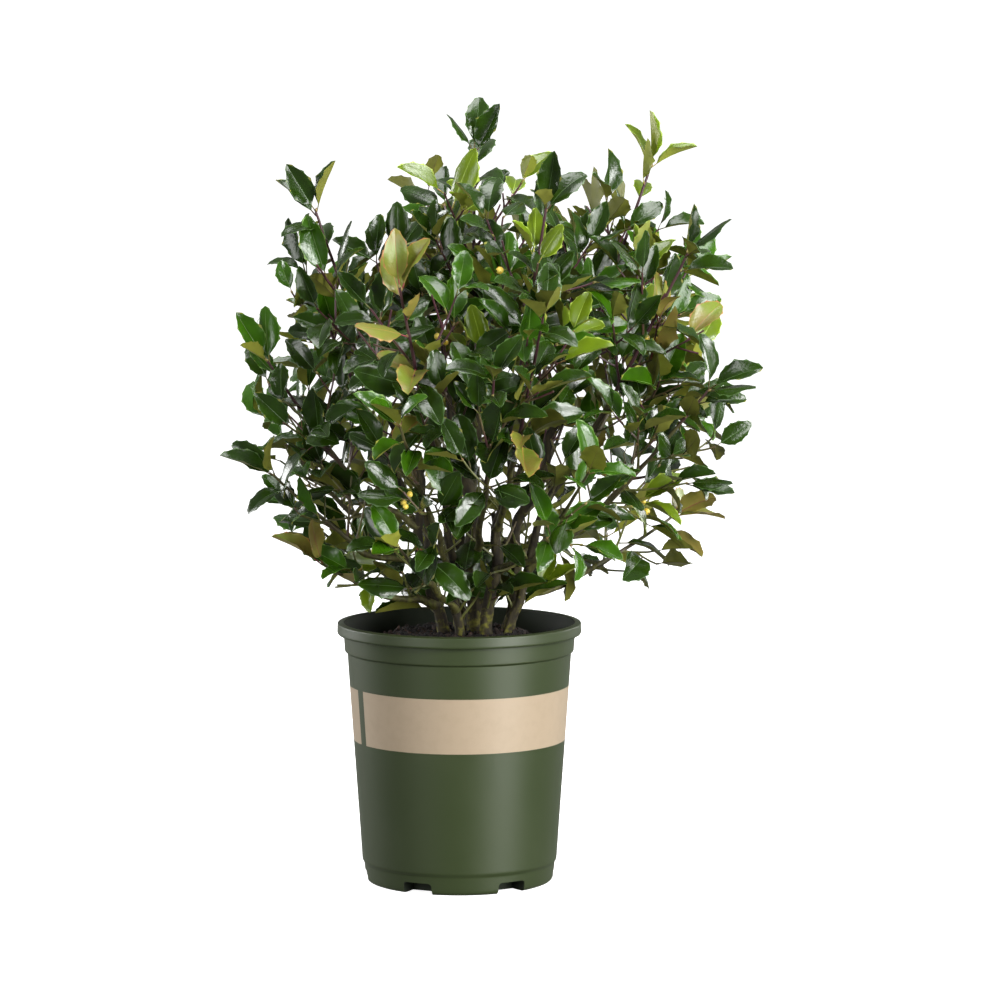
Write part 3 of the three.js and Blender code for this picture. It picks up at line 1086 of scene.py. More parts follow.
@dataclass
class HollyLeaf:
    """A spiny leaf that lies along +X with its upper side to +Z and its root at the origin, one unit long."""

    stalk: float = 0.14
    width: float = 0.485
    stations: tuple[float, ...] = (0.0, 0.15, 0.36, 0.58, 0.79, 1.0)
    tooth: float = 0.026
    tooth_place: float = 0.62
    tooth_foot: float = 0.05
    tooth_lean: float = 0.015
    margin: float = 0.008
    hem: float = 0.002  # height of the margin's inner edge
    rib: float = 0.008
    depth: float = 0.016
    puff: float = 0.016
    puff_place: float = 0.54  # of half the width, where each half swells most
    forms: tuple[LeafForm, ...] = (
        LeafForm(fold=38, curl=14, wave=0.016),
        LeafForm(fold=27, curl=56, droop=0.25, wave=0.014),
        LeafForm(fold=32, curl=24, twist=38, wave=0.018),
        LeafForm(fold=16, curl=14, droop=0.55, wave=0.012),
        LeafForm(fold=34, curl=-16, wave=0.030),
        LeafForm(fold=29, curl=36, twist=-32, droop=0.2, wave=0.022),
    )

    def half_width(self, t: float) -> float:
        """Half the blade's width at a share of its length. It is widest just below the middle."""
        return 0.5 * self.width * t**0.75 * (1 - t) ** 0.88 / 0.325 if 0 < t < 1 else 0.0

    def meshes(self) -> list[Mesh]:
        """The mesh of each form."""
        return [self._mesh(form) for form in self.forms]

    def _place(self, form: LeafForm, t: float, across: float, height: float) -> tuple[float, float, float]:
        """Where a point of the flat leaf comes to lie.

        Args:
            form: How the leaf is bent.
            t: The point's share of the blade's length.
            across: Its distance from the midrib, with a sign.
            height: Its height above the flat leaf.

        Returns:
            The point, with the stalk's length added.
        """
        fold, curl, twist = (math.radians(a) for a in (form.fold, form.curl, form.twist * (t - 0.3)))
        outwards = abs(across)
        share = 2 * outwards / self.width
        y = across * math.cos(fold)
        z = height + outwards * math.sin(fold) - form.droop * share * outwards
        z += form.wave * share**2 * math.sin(t * 15 + (0.0 if across > 0 else 2.1))
        y, z = y * math.cos(twist) - z * math.sin(twist), y * math.sin(twist) + z * math.cos(twist)
        blade = 1 - self.stalk
        angle = curl * t
        x = blade * t if abs(curl) < 1e-6 else blade * math.sin(angle) / curl
        sunk = 0.0 if abs(curl) < 1e-6 else blade * (1 - math.cos(angle)) / curl
        return (self.stalk + x + z * math.sin(angle), y, z * math.cos(angle) - sunk)

    def _mesh(self, form: LeafForm) -> Mesh:
        """Builds a closed mesh, each half from the midrib out to the toothed rim and back below.

        Args:
            form: How the leaf is bent.

        Returns:
            The mesh, with the leaf part in its faces' "part".
        """
        points: list[tuple[float, float, float]] = []
        faces: list[tuple[int, ...]] = []
        parts: list[int] = []

        def point(t: float, across: float, height: float) -> int:
            """Adds a point of the flat leaf where the bent leaf has it, and gives its number."""
            points.append(self._place(form, t, across, height))
            return len(points) - 1

        def face(part: LeafPart, *corners: int) -> None:
            """Adds a face, unless its corners fall together.

            Args:
                part: The part of the leaf that it belongs to.
                *corners: The numbers of its points.
            """
            ring = tuple(c for c, before in zip(corners, corners[-1:] + corners[:-1]) if c != before)
            if len(ring) > 2:
                faces.append(ring)
                parts.append(part.value)

        inner = self.stations[1:-1]
        last = len(self.stations) - 1
        tip = point(1.0, 0, 0)
        ribs, keels = [], []
        for side in (1, -1):
            ridge = [(t, side * self.rib * (1.15 - t)) for t in self.stations[:-1]]
            rib = [point(t, across, 0) for t, across in ridge] + [tip]
            keel = [point(t, across, -self.depth) for t, across in ridge] + [tip]
            swell = [(t, side * self.puff_place * self.half_width(t)) for t in inner]
            middle = [rib[0], *(point(t, across, self.puff) for t, across in swell), tip]
            below = [keel[0], *(point(t, across, self.puff - self.depth) for t, across in swell), tip]
            hem = [rib[0], *(point(t, side * (self.half_width(t) - self.margin), self.hem) for t in inner), tip]
            rim = [rib[0], *(point(t, side * self.half_width(t), 0) for t in inner), tip]
            ribs.append(rib)
            keels.append(keel)
            for k in range(last):
                edge, seam = [rim[k], rim[k + 1]], [hem[k], hem[k + 1]]
                if k > 0:
                    t = mix(self.stations[k], self.stations[k + 1], self.tooth_place)
                    for place, spine in ((t - self.tooth_foot, 0.0), (t + self.tooth_lean, self.tooth)):
                        edge.insert(-1, point(place, side * (self.half_width(place) + spine), 0))
                        seam.insert(-1, point(place, side * (self.half_width(place) - self.margin), self.hem))
                face(LeafPart.BLADE, rib[k], middle[k], middle[k + 1], rib[k + 1])
                face(LeafPart.UNDERSIDE, keel[k], below[k], below[k + 1], keel[k + 1])
                # Both sides part their outer strip alike, so that they meet at the edge alone.
                for part, row, rope in ((LeafPart.BLADE, middle, seam), (LeafPart.UNDERSIDE, below, edge)):
                    face(part, row[k], rope[0], rope[1])
                    face(part, row[k], rope[1], row[k + 1])
                    for start, end in zip(rope[1:], rope[2:]):
                        face(part, row[k + 1], start, end)
                for i in range(len(edge) - 1):
                    face(LeafPart.RIB, seam[i], edge[i], edge[i + 1], seam[i + 1])
        for (left, right), part in ((ribs, LeafPart.RIB), (keels[::-1], LeafPart.STALK)):
            for k in range(last):
                face(part, left[k], right[k], right[k + 1], left[k + 1])
        left, right = ribs
        foot = []
        for across, height in ((0.011, 0.0), (-0.011, 0.0), (-0.009, -0.017), (0.009, -0.017)):
            points.append((0.0, across, height))
            foot.append(len(points) - 1)
        neck = [left[0], right[0], keels[1][0], keels[0][0]]
        for i in range(4):
            j = (i + 1) % 4
            face(LeafPart.STALK, foot[i], foot[j], neck[j], neck[i])
        face(LeafPart.STALK, *foot)

        mesh = with_parts(mesh_of("leaf", points, faces, unit=1), parts)
        self._crease(mesh)
        return mesh

    def _crease(self, mesh: Mesh) -> None:
        """Marks as sharp the edges round the margin, so that both sides keep their own gloss.

        Args:
            mesh: The leaf's mesh.
        """
        shell = bmesh.new()
        shell.from_mesh(mesh)
        part = shell.faces.layers.int["part"]
        for edge in shell.edges:
            sides = {f[part] for f in edge.link_faces}
            if LeafPart.UNDERSIDE.value in sides and len(sides) > 1:
                edge.smooth = False
        shell.to_mesh(mesh)
        shell.free()


@dataclass
class Berry:
    """A berry on its stalk, which lies along +X from the origin. The berry is one unit across."""

    stalk_length: float = 0.8
    stalk_radius: float = 0.07
    eye_radius: float = 0.13
    lengths: tuple[float, ...] = (1.0, 1.14)
    rings: int = 6
    sides: int = 8

    def meshes(self) -> list[Mesh]:
        """A form of each length."""
        return [self._mesh(length) for length in self.lengths]

    def _mesh(self, length: float) -> Mesh:
        """Turns the berry's outline round +X, with the stalk first and the dark eye last.

        Args:
            length: How long the berry is.

        Returns:
            The mesh, with the numbers of skin, eye and stalk in its faces' "part".
        """
        stalk, half = self.stalk_length, 0.5
        outline = [(0.0, self.stalk_radius), (stalk * 0.6, self.stalk_radius), (stalk, self.stalk_radius * 1.6)]
        for i in range(1, self.rings):
            angle = math.pi * i / self.rings
            outline.append((stalk + length * half * (1 - math.cos(angle)), half * math.sin(angle)))
        outline.append((stalk + length * 0.97, self.eye_radius))
        points, faces, bands = turned(outline, self.sides, 0.0, stalk + length * 0.955)
        parts = [2 if band < 2 else 1 if band == len(outline) - 1 else 0 for band in bands]
        return with_parts(mesh_of("berry", points, faces, unit=1), parts)


@dataclass
class Bud:
    """A small pointed bud of two scales, which lies along +X and is one unit long."""

    outline: tuple[Span, ...] = ((-0.1, 0.22), (0.3, 0.36), (0.62, 0.25))
    sides: int = 5

    def meshes(self) -> list[Mesh]:
        """The one form of the bud."""
        points, faces, _ = turned(self.outline, self.sides, self.outline[0][0], 1.0)
        return [with_parts(mesh_of("bud", points, faces, unit=1), [0] * len(faces))]


@dataclass
class Crumb:
    """Lumps of potting mix, one unit across: round crumbs, or flat chips and fibres of bark."""

    stretch: tuple[float, float, float] = (1.0, 0.85, 0.7)
    count: int = 4
    roughness: float = 0.3
    seed: int = 31

    def meshes(self) -> list[Mesh]:
        """Builds a few forms, each with its own bumps.

        Returns:
            Their meshes.
        """
        made = []
        for number in range(self.count):
            lump = bmesh.new()
            bmesh.ops.create_icosphere(lump, subdivisions=1, radius=0.5)
            for vertex in lump.verts:
                shift = Vector((number * 7.3, self.seed, 0))
                vertex.co *= 1 + self.roughness * noise.noise(vertex.co * 3.1 + shift)
                vertex.co = Vector(c * s for c, s in zip(vertex.co, self.stretch))
            mesh = bpy.data.meshes.new("crumb")
            lump.to_mesh(mesh)
            lump.free()
            made.append(with_parts(mesh, [0] * len(mesh.polygons)))
        return made


# ==== Leafy growth ====


class Tint(Enum):
    """The age of a spray, which gives its leaves their colour."""

    MATURE = "mature"
    GREEN = "green"
    FRESH = "fresh"
    BRONZE = "bronze"


class TwigKind(Enum):
    """The kinds of twig, from thick to thin."""

    LEADING = "leading"
    YOUNG = "young"


class Order(Enum):
    """How far out each order of growth may come, as a share of the crown's reach: leaders stand out from the rest."""

    LEADER = 1.05
    SIDE = 0.94
    SPUR = 0.88
    SHOOT = 0.8


@dataclass(frozen=True)
class Spray:
    """A twig that is to bear leaves, with its order and the tint of its leaves."""

    twig: Limb
    order: Order
    tint: Tint


@dataclass(frozen=True)
class Sprig:
    """A small thing that stands on a twig: a leaf, a bud or a berry."""

    root: Vector
    axis: Vector
    face: Vector
    size: float
    form: int

    def turn(self) -> tuple[float, float, float]:
        """Turns +X to the axis and +Z to the upper face.

        Returns:
            The Euler angles of the turn.
        """
        side = self.face.cross(self.axis).normalized()
        upper = self.axis.cross(side)
        return tuple(Matrix((self.axis, side, upper)).transposed().to_euler("XYZ"))


@dataclass
class LeafyGrowth:
    """The twigs, leaves, buds and berries of the shrub.

    Each mass grows its leading twig, side twigs and their order by the solids' own chances. From there it is carried
    on to spurs and to leaves of true size, which keep inside the crown's reach.
    """

    plan: ShrubPlan
    seed: int = 100
    finer_seed: int = 500
    side_spacing: float = 26
    fewest_sides: int = 3
    leaf_nodes: int = 4
    first_node: float = 0.1
    last_node: float = 0.93
    side_length: float = 0.5
    shortening: float = 0.4
    variation: float = 0.2
    open_angle: float = 58
    close_angle: float = 34
    uplift: float = 0.16
    leader_uplift: float = 0.08
    solid_leaf_draws: int = 4
    leader_diameter: float = 4.6
    leader_tip: float = 2.4
    side_diameter: float = 2.7
    side_tip: float = 1.8
    spur_diameter: float = 2.0
    shoot_diameter: float = 2.4
    leaf_length: float = 54
    leaf_variation: float = 0.2
    leaf_spacing: float = 18
    jitter: float = 16  # degrees by which a leaf's spread and its turn round the twig vary
    roll: float = 46  # degrees within which a leaf rolls on its axis
    last_leaf: float = 0.84  # length of the leaf at a tip, as a share. On a leader it is whole.
    end_spread: Span = (9, 17)
    pair_spread: Span = (24, 38)  # of the two more leaves at a leader's tip
    twig_cuts: tuple[float, ...] = (1.0, 0.8, 0.6)  # shares of the length that are tried for a twig
    bud_share: float = 0.4  # of the leaves that have a bud
    outer_share: float = 0.62  # of the reach, from which berries are borne
    berry_twig: float = 30  # the shortest that bears any
    foot_spread: float = 64
    tip_spread: float = 30
    upturn: float = 0.7
    divergence: float = 137.5
    apart: float = 21
    spur_length: Span = (20, 42)
    spur_spacing: float = 36
    spur_angle: Span = (46, 60)
    spur_uplift: float = 0.22
    same_tint: float = 0.7  # share of the spurs that have their twig's tint
    limb_shoot_spacing: float = 50
    shoot_length: Span = (26, 62)
    shoot_angle: Span = (50, 66)
    shoot_uplift: float = 0.2
    stem_shoots: tuple[Span, ...] = ((0.14, 0.97), (0.11, 0.36))  # where rows of shoots begin and end
    bough_shoots: Span = (0.42, 0.95)
    berry_size: float = 6.2
    bud_size: float = 3.2
    berry_clusters: int = 13
    droop: float = 0.36  # how far leaves that head outwards hang
    green_share: float = 0.22  # of the sprays
    hollow: float = 0.61  # share of the reach within which no leaf gets light enough
    lit_level: float = 320  # height up to which light comes in from the sides
    brow: float = 0.2  # how the edge of the bare foot rises towards the best side
    bright_side: Vector = field(default_factory=lambda: Vector((0.1, -0.6, 0)))
    show: Mapping[Tint, float] = field(  # how much the upper sides turn to the outside
        default_factory=lambda: {Tint.MATURE: 0.62, Tint.GREEN: 0.5, Tint.FRESH: 0.35, Tint.BRONZE: 0.2}
    )
    twigs: dict[TwigKind, list[Limb]] = field(default_factory=lambda: {kind: [] for kind in TwigKind})
    leaves: dict[Tint, list[Sprig]] = field(default_factory=lambda: {tint: [] for tint in Tint})
    buds: list[Sprig] = field(default_factory=list)
    berries: list[Sprig] = field(default_factory=list)

    def __post_init__(self) -> None:
        """Grows every mass, and then the shoots on the limbs."""
        self._taken: dict[tuple[int, int, int], list[Vector]] = {}
        self._wood = self._wood_points()
        for index, mass in enumerate(self.plan.masses):
            self._grow_mass(mass, seeded(self.seed + index), seeded(self.finer_seed + index))
        chance = seeded(self.finer_seed + 99)
        for planned in self.plan.stems:
            for first, last in self.stem_shoots:
                self._grow_shoots(planned.limb, first, last, chance)
        for planned in self.plan.boughs:
            self._grow_shoots(planned.limb, *self.bough_shoots, chance)
        self._set_fruit(seeded(self.finer_seed + 100))

    # ==== room ====

    def _wood_points(self) -> tuple[np.ndarray, np.ndarray]:
        """Samples the middle of every stem and bough.

        Returns:
            The points, and the limb's radius at each.
        """
        points, radii = [], []
        for planned in self.plan.stems + self.plan.boughs:
            count = max(4, round(planned.limb.length / 5))
            for i in range(count + 1):
                points.append(tuple(planned.limb.point_at(i / count)))
                radii.append(planned.limb.diameter_at(i / count) / 2)
        return np.array(points), np.array(radii)

    def _clear_of_wood(self, point: Vector, gap: float) -> bool:
        """Whether a point keeps a distance from every stem and bough."""
        points, radii = self._wood
        return bool(np.all(np.linalg.norm(points - np.array(point), axis=1) > radii + gap))

    def _has_room(self, middle: Vector, apart: float) -> bool:
        """Takes the room for a leaf, where it is free.

        Args:
            middle: The leaf's middle.
            apart: How far the middles of others have to lie from it.

        Returns:
            Whether it was free.
        """
        cell = tuple(int(math.floor(c / self.apart)) for c in middle)
        for shift in itertools.product((-1, 0, 1), repeat=3):
            near = self._taken.get(tuple(c + d for c, d in zip(cell, shift)), ())
            if any((other - middle).length < apart for other in near):
                return False
        self._taken.setdefault(cell, []).append(middle)
        return True

    def _inside(self, point: Vector, order: Order) -> bool:
        """Whether a point keeps above the bare foot and as far within the crown's reach as its order has to."""
        bare = self.plan.crown.bare_level + self.brow * min(80.0, max(0.0, -30 - point.y))
        return point.z > bare and self.plan.crown.share_of_reach(point) < order.value

    # ==== twigs ====

    def _grow_mass(self, mass: Mass, chance: Chance, finer: Chance) -> None:
        """Grows one mass.

        Args:
            mass: Its seat.
            chance: Gives the solids' own numbers.
            finer: Gives the numbers for what the solids don't have.
        """
        spare = self.plan.crown.solid_leaf - self.leaf_length
        bend = mass.start + mass.direction * (mass.length / 2)
        solid_tip = mass.start + mass.direction * mass.length + UP * (self.leader_uplift * mass.length)
        tip = solid_tip + (solid_tip - bend).normalized() * spare
        leader = Limb(mass.start - mass.direction * 1.5, bend, tip, self.leader_diameter, self.leader_tip, 3)
        self.twigs[TwigKind.LEADING].append(leader)
        side_nodes = max(self.fewest_sides, round(mass.length / self.side_spacing))
        nodes = side_nodes + self.leaf_nodes
        for i in range(nodes):
            place = mix(self.first_node, self.last_node, i / (nodes - 1))
            if i >= side_nodes:
                chance()
                continue
            foot = place * mass.length / (mass.length + spare)
            angle = mix(self.open_angle, self.close_angle, place)
            direction = lifted(leader.opened_at(foot, angle, 90 + 120 * i), self.uplift)
            vigour = 1 + self.variation * (2 * chance() - 1)
            length = mass.length * self.side_length * (1 - self.shortening * place) * vigour + spare
            for _ in range(1 + self.solid_leaf_draws):
                chance()
            spray = self._add_twig(Order.SIDE, leader.point_at(foot), direction, length, self.side_diameter, finer)
            if spray:
                self._clothe(spray, 0.3, finer)
                self._grow_spurs(spray, finer)
        self._clothe(Spray(leader, Order.LEADER, self._tint(leader.point_at(1), finer)), 0.12, finer)

    def _add_twig(
        self,
        order: Order,
        start: Vector,
        direction: Vector,
        length: float,
        diameter: float,
        finer: Chance,
    ) -> Spray | None:
        """Adds a side twig or a spur that bends a little to the sky.

        Args:
            order: Its order, which limits how far out it comes.
            start: Its foot.
            direction: The way it starts.
            length: Its length, which is cut until its tip keeps inside the crown.
            diameter: At the foot.
            finer: Gives seeded numbers.

        Returns:
            The twig's spray, or None where there is no room for it.
        """
        bow = UP * (0.05 + 0.1 * finer())
        for share in self.twig_cuts:
            reach = length * share
            tip = start + (direction + bow).normalized() * reach
            if self._inside(tip + direction * (0.55 * self.leaf_length), order) and self._clear_of_wood(tip, 2):
                twig = Limb(start, start + direction * (0.5 * reach), tip, diameter, self.side_tip, 3)
                self.twigs[TwigKind.YOUNG].append(twig)
                return Spray(twig, order, self._tint(tip, finer))
        return None

    def _grow_spurs(self, spray: Spray, finer: Chance) -> None:
        """Grows short spurs on a side twig, alternately to either side.

        Args:
            spray: What they stand on.
            finer: Gives seeded numbers.
        """
        twig = spray.twig
        count = max(1, round(twig.length / self.spur_spacing))
        turn = 360 * finer()
        for i in range(count):
            place = (i + 0.8) / (count + 0.9)
            direction = lifted(twig.opened_at(place, mix(*self.spur_angle, finer()), turn + 150 * i), self.spur_uplift)
            length = mix(*self.spur_length, finer())
            spur = self._add_twig(Order.SPUR, twig.point_at(place), direction, length, self.spur_diameter, finer)
            if spur:
                self._clothe(replace(spur, tint=spray.tint) if finer() < self.same_tint else spur, 0.34, finer)

    def _grow_shoots(self, limb: Limb, first: float, last: float, finer: Chance) -> None:
        """Grows short leafy shoots on a stem or bough, below its mass.

        Args:
            limb: The stem or bough.
            first: Where the first of them stands.
            last: Where the last of them stands.
            finer: Gives seeded numbers.
        """
        count = max(1, round(limb.length * (last - first) / self.limb_shoot_spacing))
        turn = 360 * finer()
        for i in range(count + 1):
            turn += self.divergence
            place = mix(first, last, i / count)
            direction = lifted(limb.opened_at(place, mix(*self.shoot_angle, finer()), turn), self.shoot_uplift)
            length = mix(*self.shoot_length, finer())
            shoot = self._add_twig(Order.SHOOT, limb.point_at(place), direction, length, self.shoot_diameter, finer)
            if shoot:
                self._clothe(shoot, 0.3, finer)

    # ==== leaves ====

    def _tint(self, tip: Vector, finer: Chance) -> Tint:
        """Deals a spray its tint. Fresh and bronze sprays are likelier high up and far out.

        Args:
            tip: The tip of the spray.
            finer: Gives seeded numbers.

        Returns:
            The tint.
        """
        outer = held((self.plan.crown.share_of_reach(tip) - 0.55) / 0.35)
        high = held((tip.z - 330) / 330)
        roll = finer()
        # At most a tenth of the sprays are bronze and another tenth fresh, high up at the crown's edge.
        bronze = 0.1 * outer * (0.3 + 0.7 * high)
        fresh = bronze + 0.045 + 0.055 * outer * (0.35 + 0.65 * high)
        if roll < bronze:
            return Tint.BRONZE
        if roll < fresh:
            return Tint.FRESH
        return Tint.GREEN if roll < fresh + self.green_share else Tint.MATURE

    def _clothe(self, spray: Spray, first: float, finer: Chance) -> None:
        """Sets leaves round a twig in a spiral, closer to its line and smaller towards the tip.

        Args:
            spray: The twig, with its order and tint.
            first: Where the first leaf stands. The last one stands at the tip.
            finer: Gives seeded numbers.
        """
        count = max(2, round(spray.twig.length * (1 - first) / self.leaf_spacing))
        turn = 360 * finer()
        for j in range(count + 1):
            place = mix(first, 1.0, j / count)
            turn += self.divergence + self.jitter * (finer() - 0.5)
            spread = mix(self.foot_spread, self.tip_spread, place**1.6) + self.jitter * (finer() - 0.5)
            length = self.leaf_length * (1 + self.leaf_variation * (2 * finer() - 1)) * (1 - 0.16 * place**6)
            self._add_leaf(spray, place, spread, turn, length, finer)
        last = self.leaf_length * (1.0 if spray.order is Order.LEADER else self.last_leaf)
        self._add_leaf(spray, 1.0, mix(*self.end_spread, finer()), turn + 190, last, finer, apart=0.55)
        if spray.order is Order.LEADER:
            for j in range(2):
                spread = mix(*self.pair_spread, finer())
                self._add_leaf(spray, 0.98, spread, turn + 140 * j, self.leaf_length, finer, apart=0.5)

    def _add_leaf(
        self,
        spray: Spray,
        place: float,
        spread: float,
        turn: float,
        length: float,
        finer: Chance,
        apart: float = 1.0,
    ) -> None:
        """Adds one leaf where there is room for it, with a bud in some of the leaves' armpits.

        Args:
            spray: What it stands on.
            place: Where on the twig.
            spread: How far it opens from the twig.
            turn: Where it stands round the twig.
            length: Its length.
            finer: Gives seeded numbers.
            apart: Share of the usual distance from other leaves.
        """
        twig = spray.twig
        heading = twig.heading_at(place)
        outwards = twig.point_at(place) - self.plan.crown.fan_point
        outwards.z = 0
        outwards = (outwards / max(110.0, outwards.length) + self.bright_side).normalized()
        axis = twig.opened_at(place, spread, turn)
        axis = lifted(axis, 0.1 * finer() - self.droop * max(0.0, axis.dot(outwards)))
        inner = heading * 0.6 + UP * self.upturn + outwards * self.show[spray.tint]
        roll = math.radians(self.roll * (finer() - 0.5))
        form = int(finer() * len(HollyLeaf.forms))
        side = inner.cross(axis)
        if side.length < 0.05:
            return
        upper = axis.cross(side.normalized())
        upper = Matrix.Rotation(roll, 3, axis) @ upper
        surface = (axis - heading * axis.dot(heading)).normalized() if spread > 20 else Vector()
        root = twig.point_at(place) + surface * (twig.diameter_at(place) * 0.3)
        middle, tip = root + axis * (0.55 * length), root + axis * length
        if not (self._inside(tip, spray.order) and self._inside(middle, spray.order)):
            return
        if tip.z > self.lit_level and self.plan.crown.share_of_reach(tip) < self.hollow:
            return
        if not all(self._clear_of_wood(root + axis * (share * length), 1.5) for share in (0.4, 0.7, 1.0)):
            return
        if not self._has_room(middle, self.apart * apart):
            return
        self.leaves[spray.tint].append(Sprig(root, axis, upper, length, form))
        if finer() < self.bud_share:
            bud_axis = (heading + axis * 0.8).normalized()
            self.buds.append(Sprig(root, bud_axis, upper, self.bud_size * (0.8 + 0.5 * finer()), 0))

    def _set_fruit(self, chance: Chance) -> None:
        """Sets small clusters of berries on some of the outer side twigs.

        Args:
            chance: Gives seeded numbers.
        """
        outer = [
            twig
            for twig in self.twigs[TwigKind.YOUNG]
            if self.plan.crown.share_of_reach(twig.point_at(1)) > self.outer_share and twig.length > self.berry_twig
        ]
        for _ in range(self.berry_clusters):
            twig = outer[int(chance() * len(outer))]
            place, turn = 0.2 + 0.5 * chance(), 360 * chance()
            for i in range(1 + int(2.4 * chance())):
                axis = lifted(twig.opened_at(place, 60 + 20 * chance(), turn + 70 * i), -0.1)
                root = twig.point_at(place) + axis * 0.6
                size = self.berry_size * (0.85 + 0.3 * chance())
                self.berries.append(Sprig(root, axis, UP, size, int(2 * chance())))


@dataclass
class Foliage:
    """Turns the leafy growth into pieces: twigs, leaves by tint, buds and berries."""

    growth: LeafyGrowth
    node_kink: float = 0.7
    line_step: float = 9

    def build(self) -> list[Object]:
        """Builds and dresses every piece.

        Returns:
            The dressed pieces.
        """
        pieces = [self._twigs(kind) for kind in TwigKind]
        leaf_forms = form_collection("leaf_form", HollyLeaf().meshes())
        masses = [mass.name for mass in self.growth.plan.masses]
        for tint in Tint:
            finishes = [finish.material() for finish in LEAF_FINISHES[tint]]
            tree = sprig_tree(f"leaves_{tint.value}", leaf_forms, finishes)
            grown = tree.grow(f"leaves_{tint.value}", self._points(self.growth.leaves[tint]))
            pieces.append(dressed(grown, masses if tint is Tint.MATURE else ()))
        put_away(leaf_forms)
        for name, forms, finishes, sprigs in (
            ("berries", Berry().meshes(), BERRY_FINISHES, self.growth.berries),
            ("buds", Bud().meshes(), BUD_FINISHES, self.growth.buds),
        ):
            shapes = form_collection(f"{name}_form", forms)
            tree = sprig_tree(name, shapes, [finish.material() for finish in finishes])
            pieces.append(dressed(tree.grow(name, self._points(sprigs))))
            put_away(shapes)
        return pieces

    def _points(self, sprigs: Sequence[Sprig]) -> Mesh:
        """Makes loose points that carry each sprig's turn, form, and size in metres.

        Args:
            sprigs: The sprigs.

        Returns:
            The points.
        """
        mesh = mesh_of("sprigs", [s.root for s in sprigs], [])
        turns = [angle for s in sprigs for angle in s.turn()]
        write_attribute(mesh, "turn", "FLOAT_VECTOR", turns)
        write_attribute(mesh, "size", "FLOAT", [s.size * METRES for s in sprigs])
        write_attribute(mesh, "form", "INT", [s.form for s in sprigs])
        return mesh

    def _twigs(self, kind: TwigKind) -> Object:
        """Builds all twigs of a kind, slightly kinked at each node and thicker where they leave the wood.

        Args:
            kind: The kind.

        Returns:
            The dressed piece.
        """
        points, radii, edges = [], [], []
        for number, twig in enumerate(self.growth.twigs[kind]):
            steps = max(3, round(twig.length / self.line_step))
            for i in range(steps + 1):
                place = i / steps
                kink = noise.noise_vector(Vector((number * 3.7, i * 1.9, 5.0))) * self.node_kink
                points.append(twig.point_at(place) + (kink if 0 < i < steps else Vector()))
                swell = 1 + 0.35 * max(0.0, 1 - place * 6) + 0.12 * noise.noise(Vector((i * 2.3, number, 0)))
                radii.append(twig.diameter_at(place) / 2 * swell * METRES)
                if i:
                    edges.append((len(points) - 2, len(points) - 1))
        mesh = mesh_of(f"twigs_{kind.value}", points, [], edges)
        write_attribute(mesh, "radius", "FLOAT", radii)
        tree = tube_tree(TWIG_FINISHES[kind].material())
        grown = tree.grow(f"twigs_{kind.value}", mesh, {"Sides": 7 if kind is TwigKind.LEADING else 5})
        grown.data.set_sharp_from_angle(angle=math.radians(60))
        return dressed(grown)


# ==== Stems and boughs ====


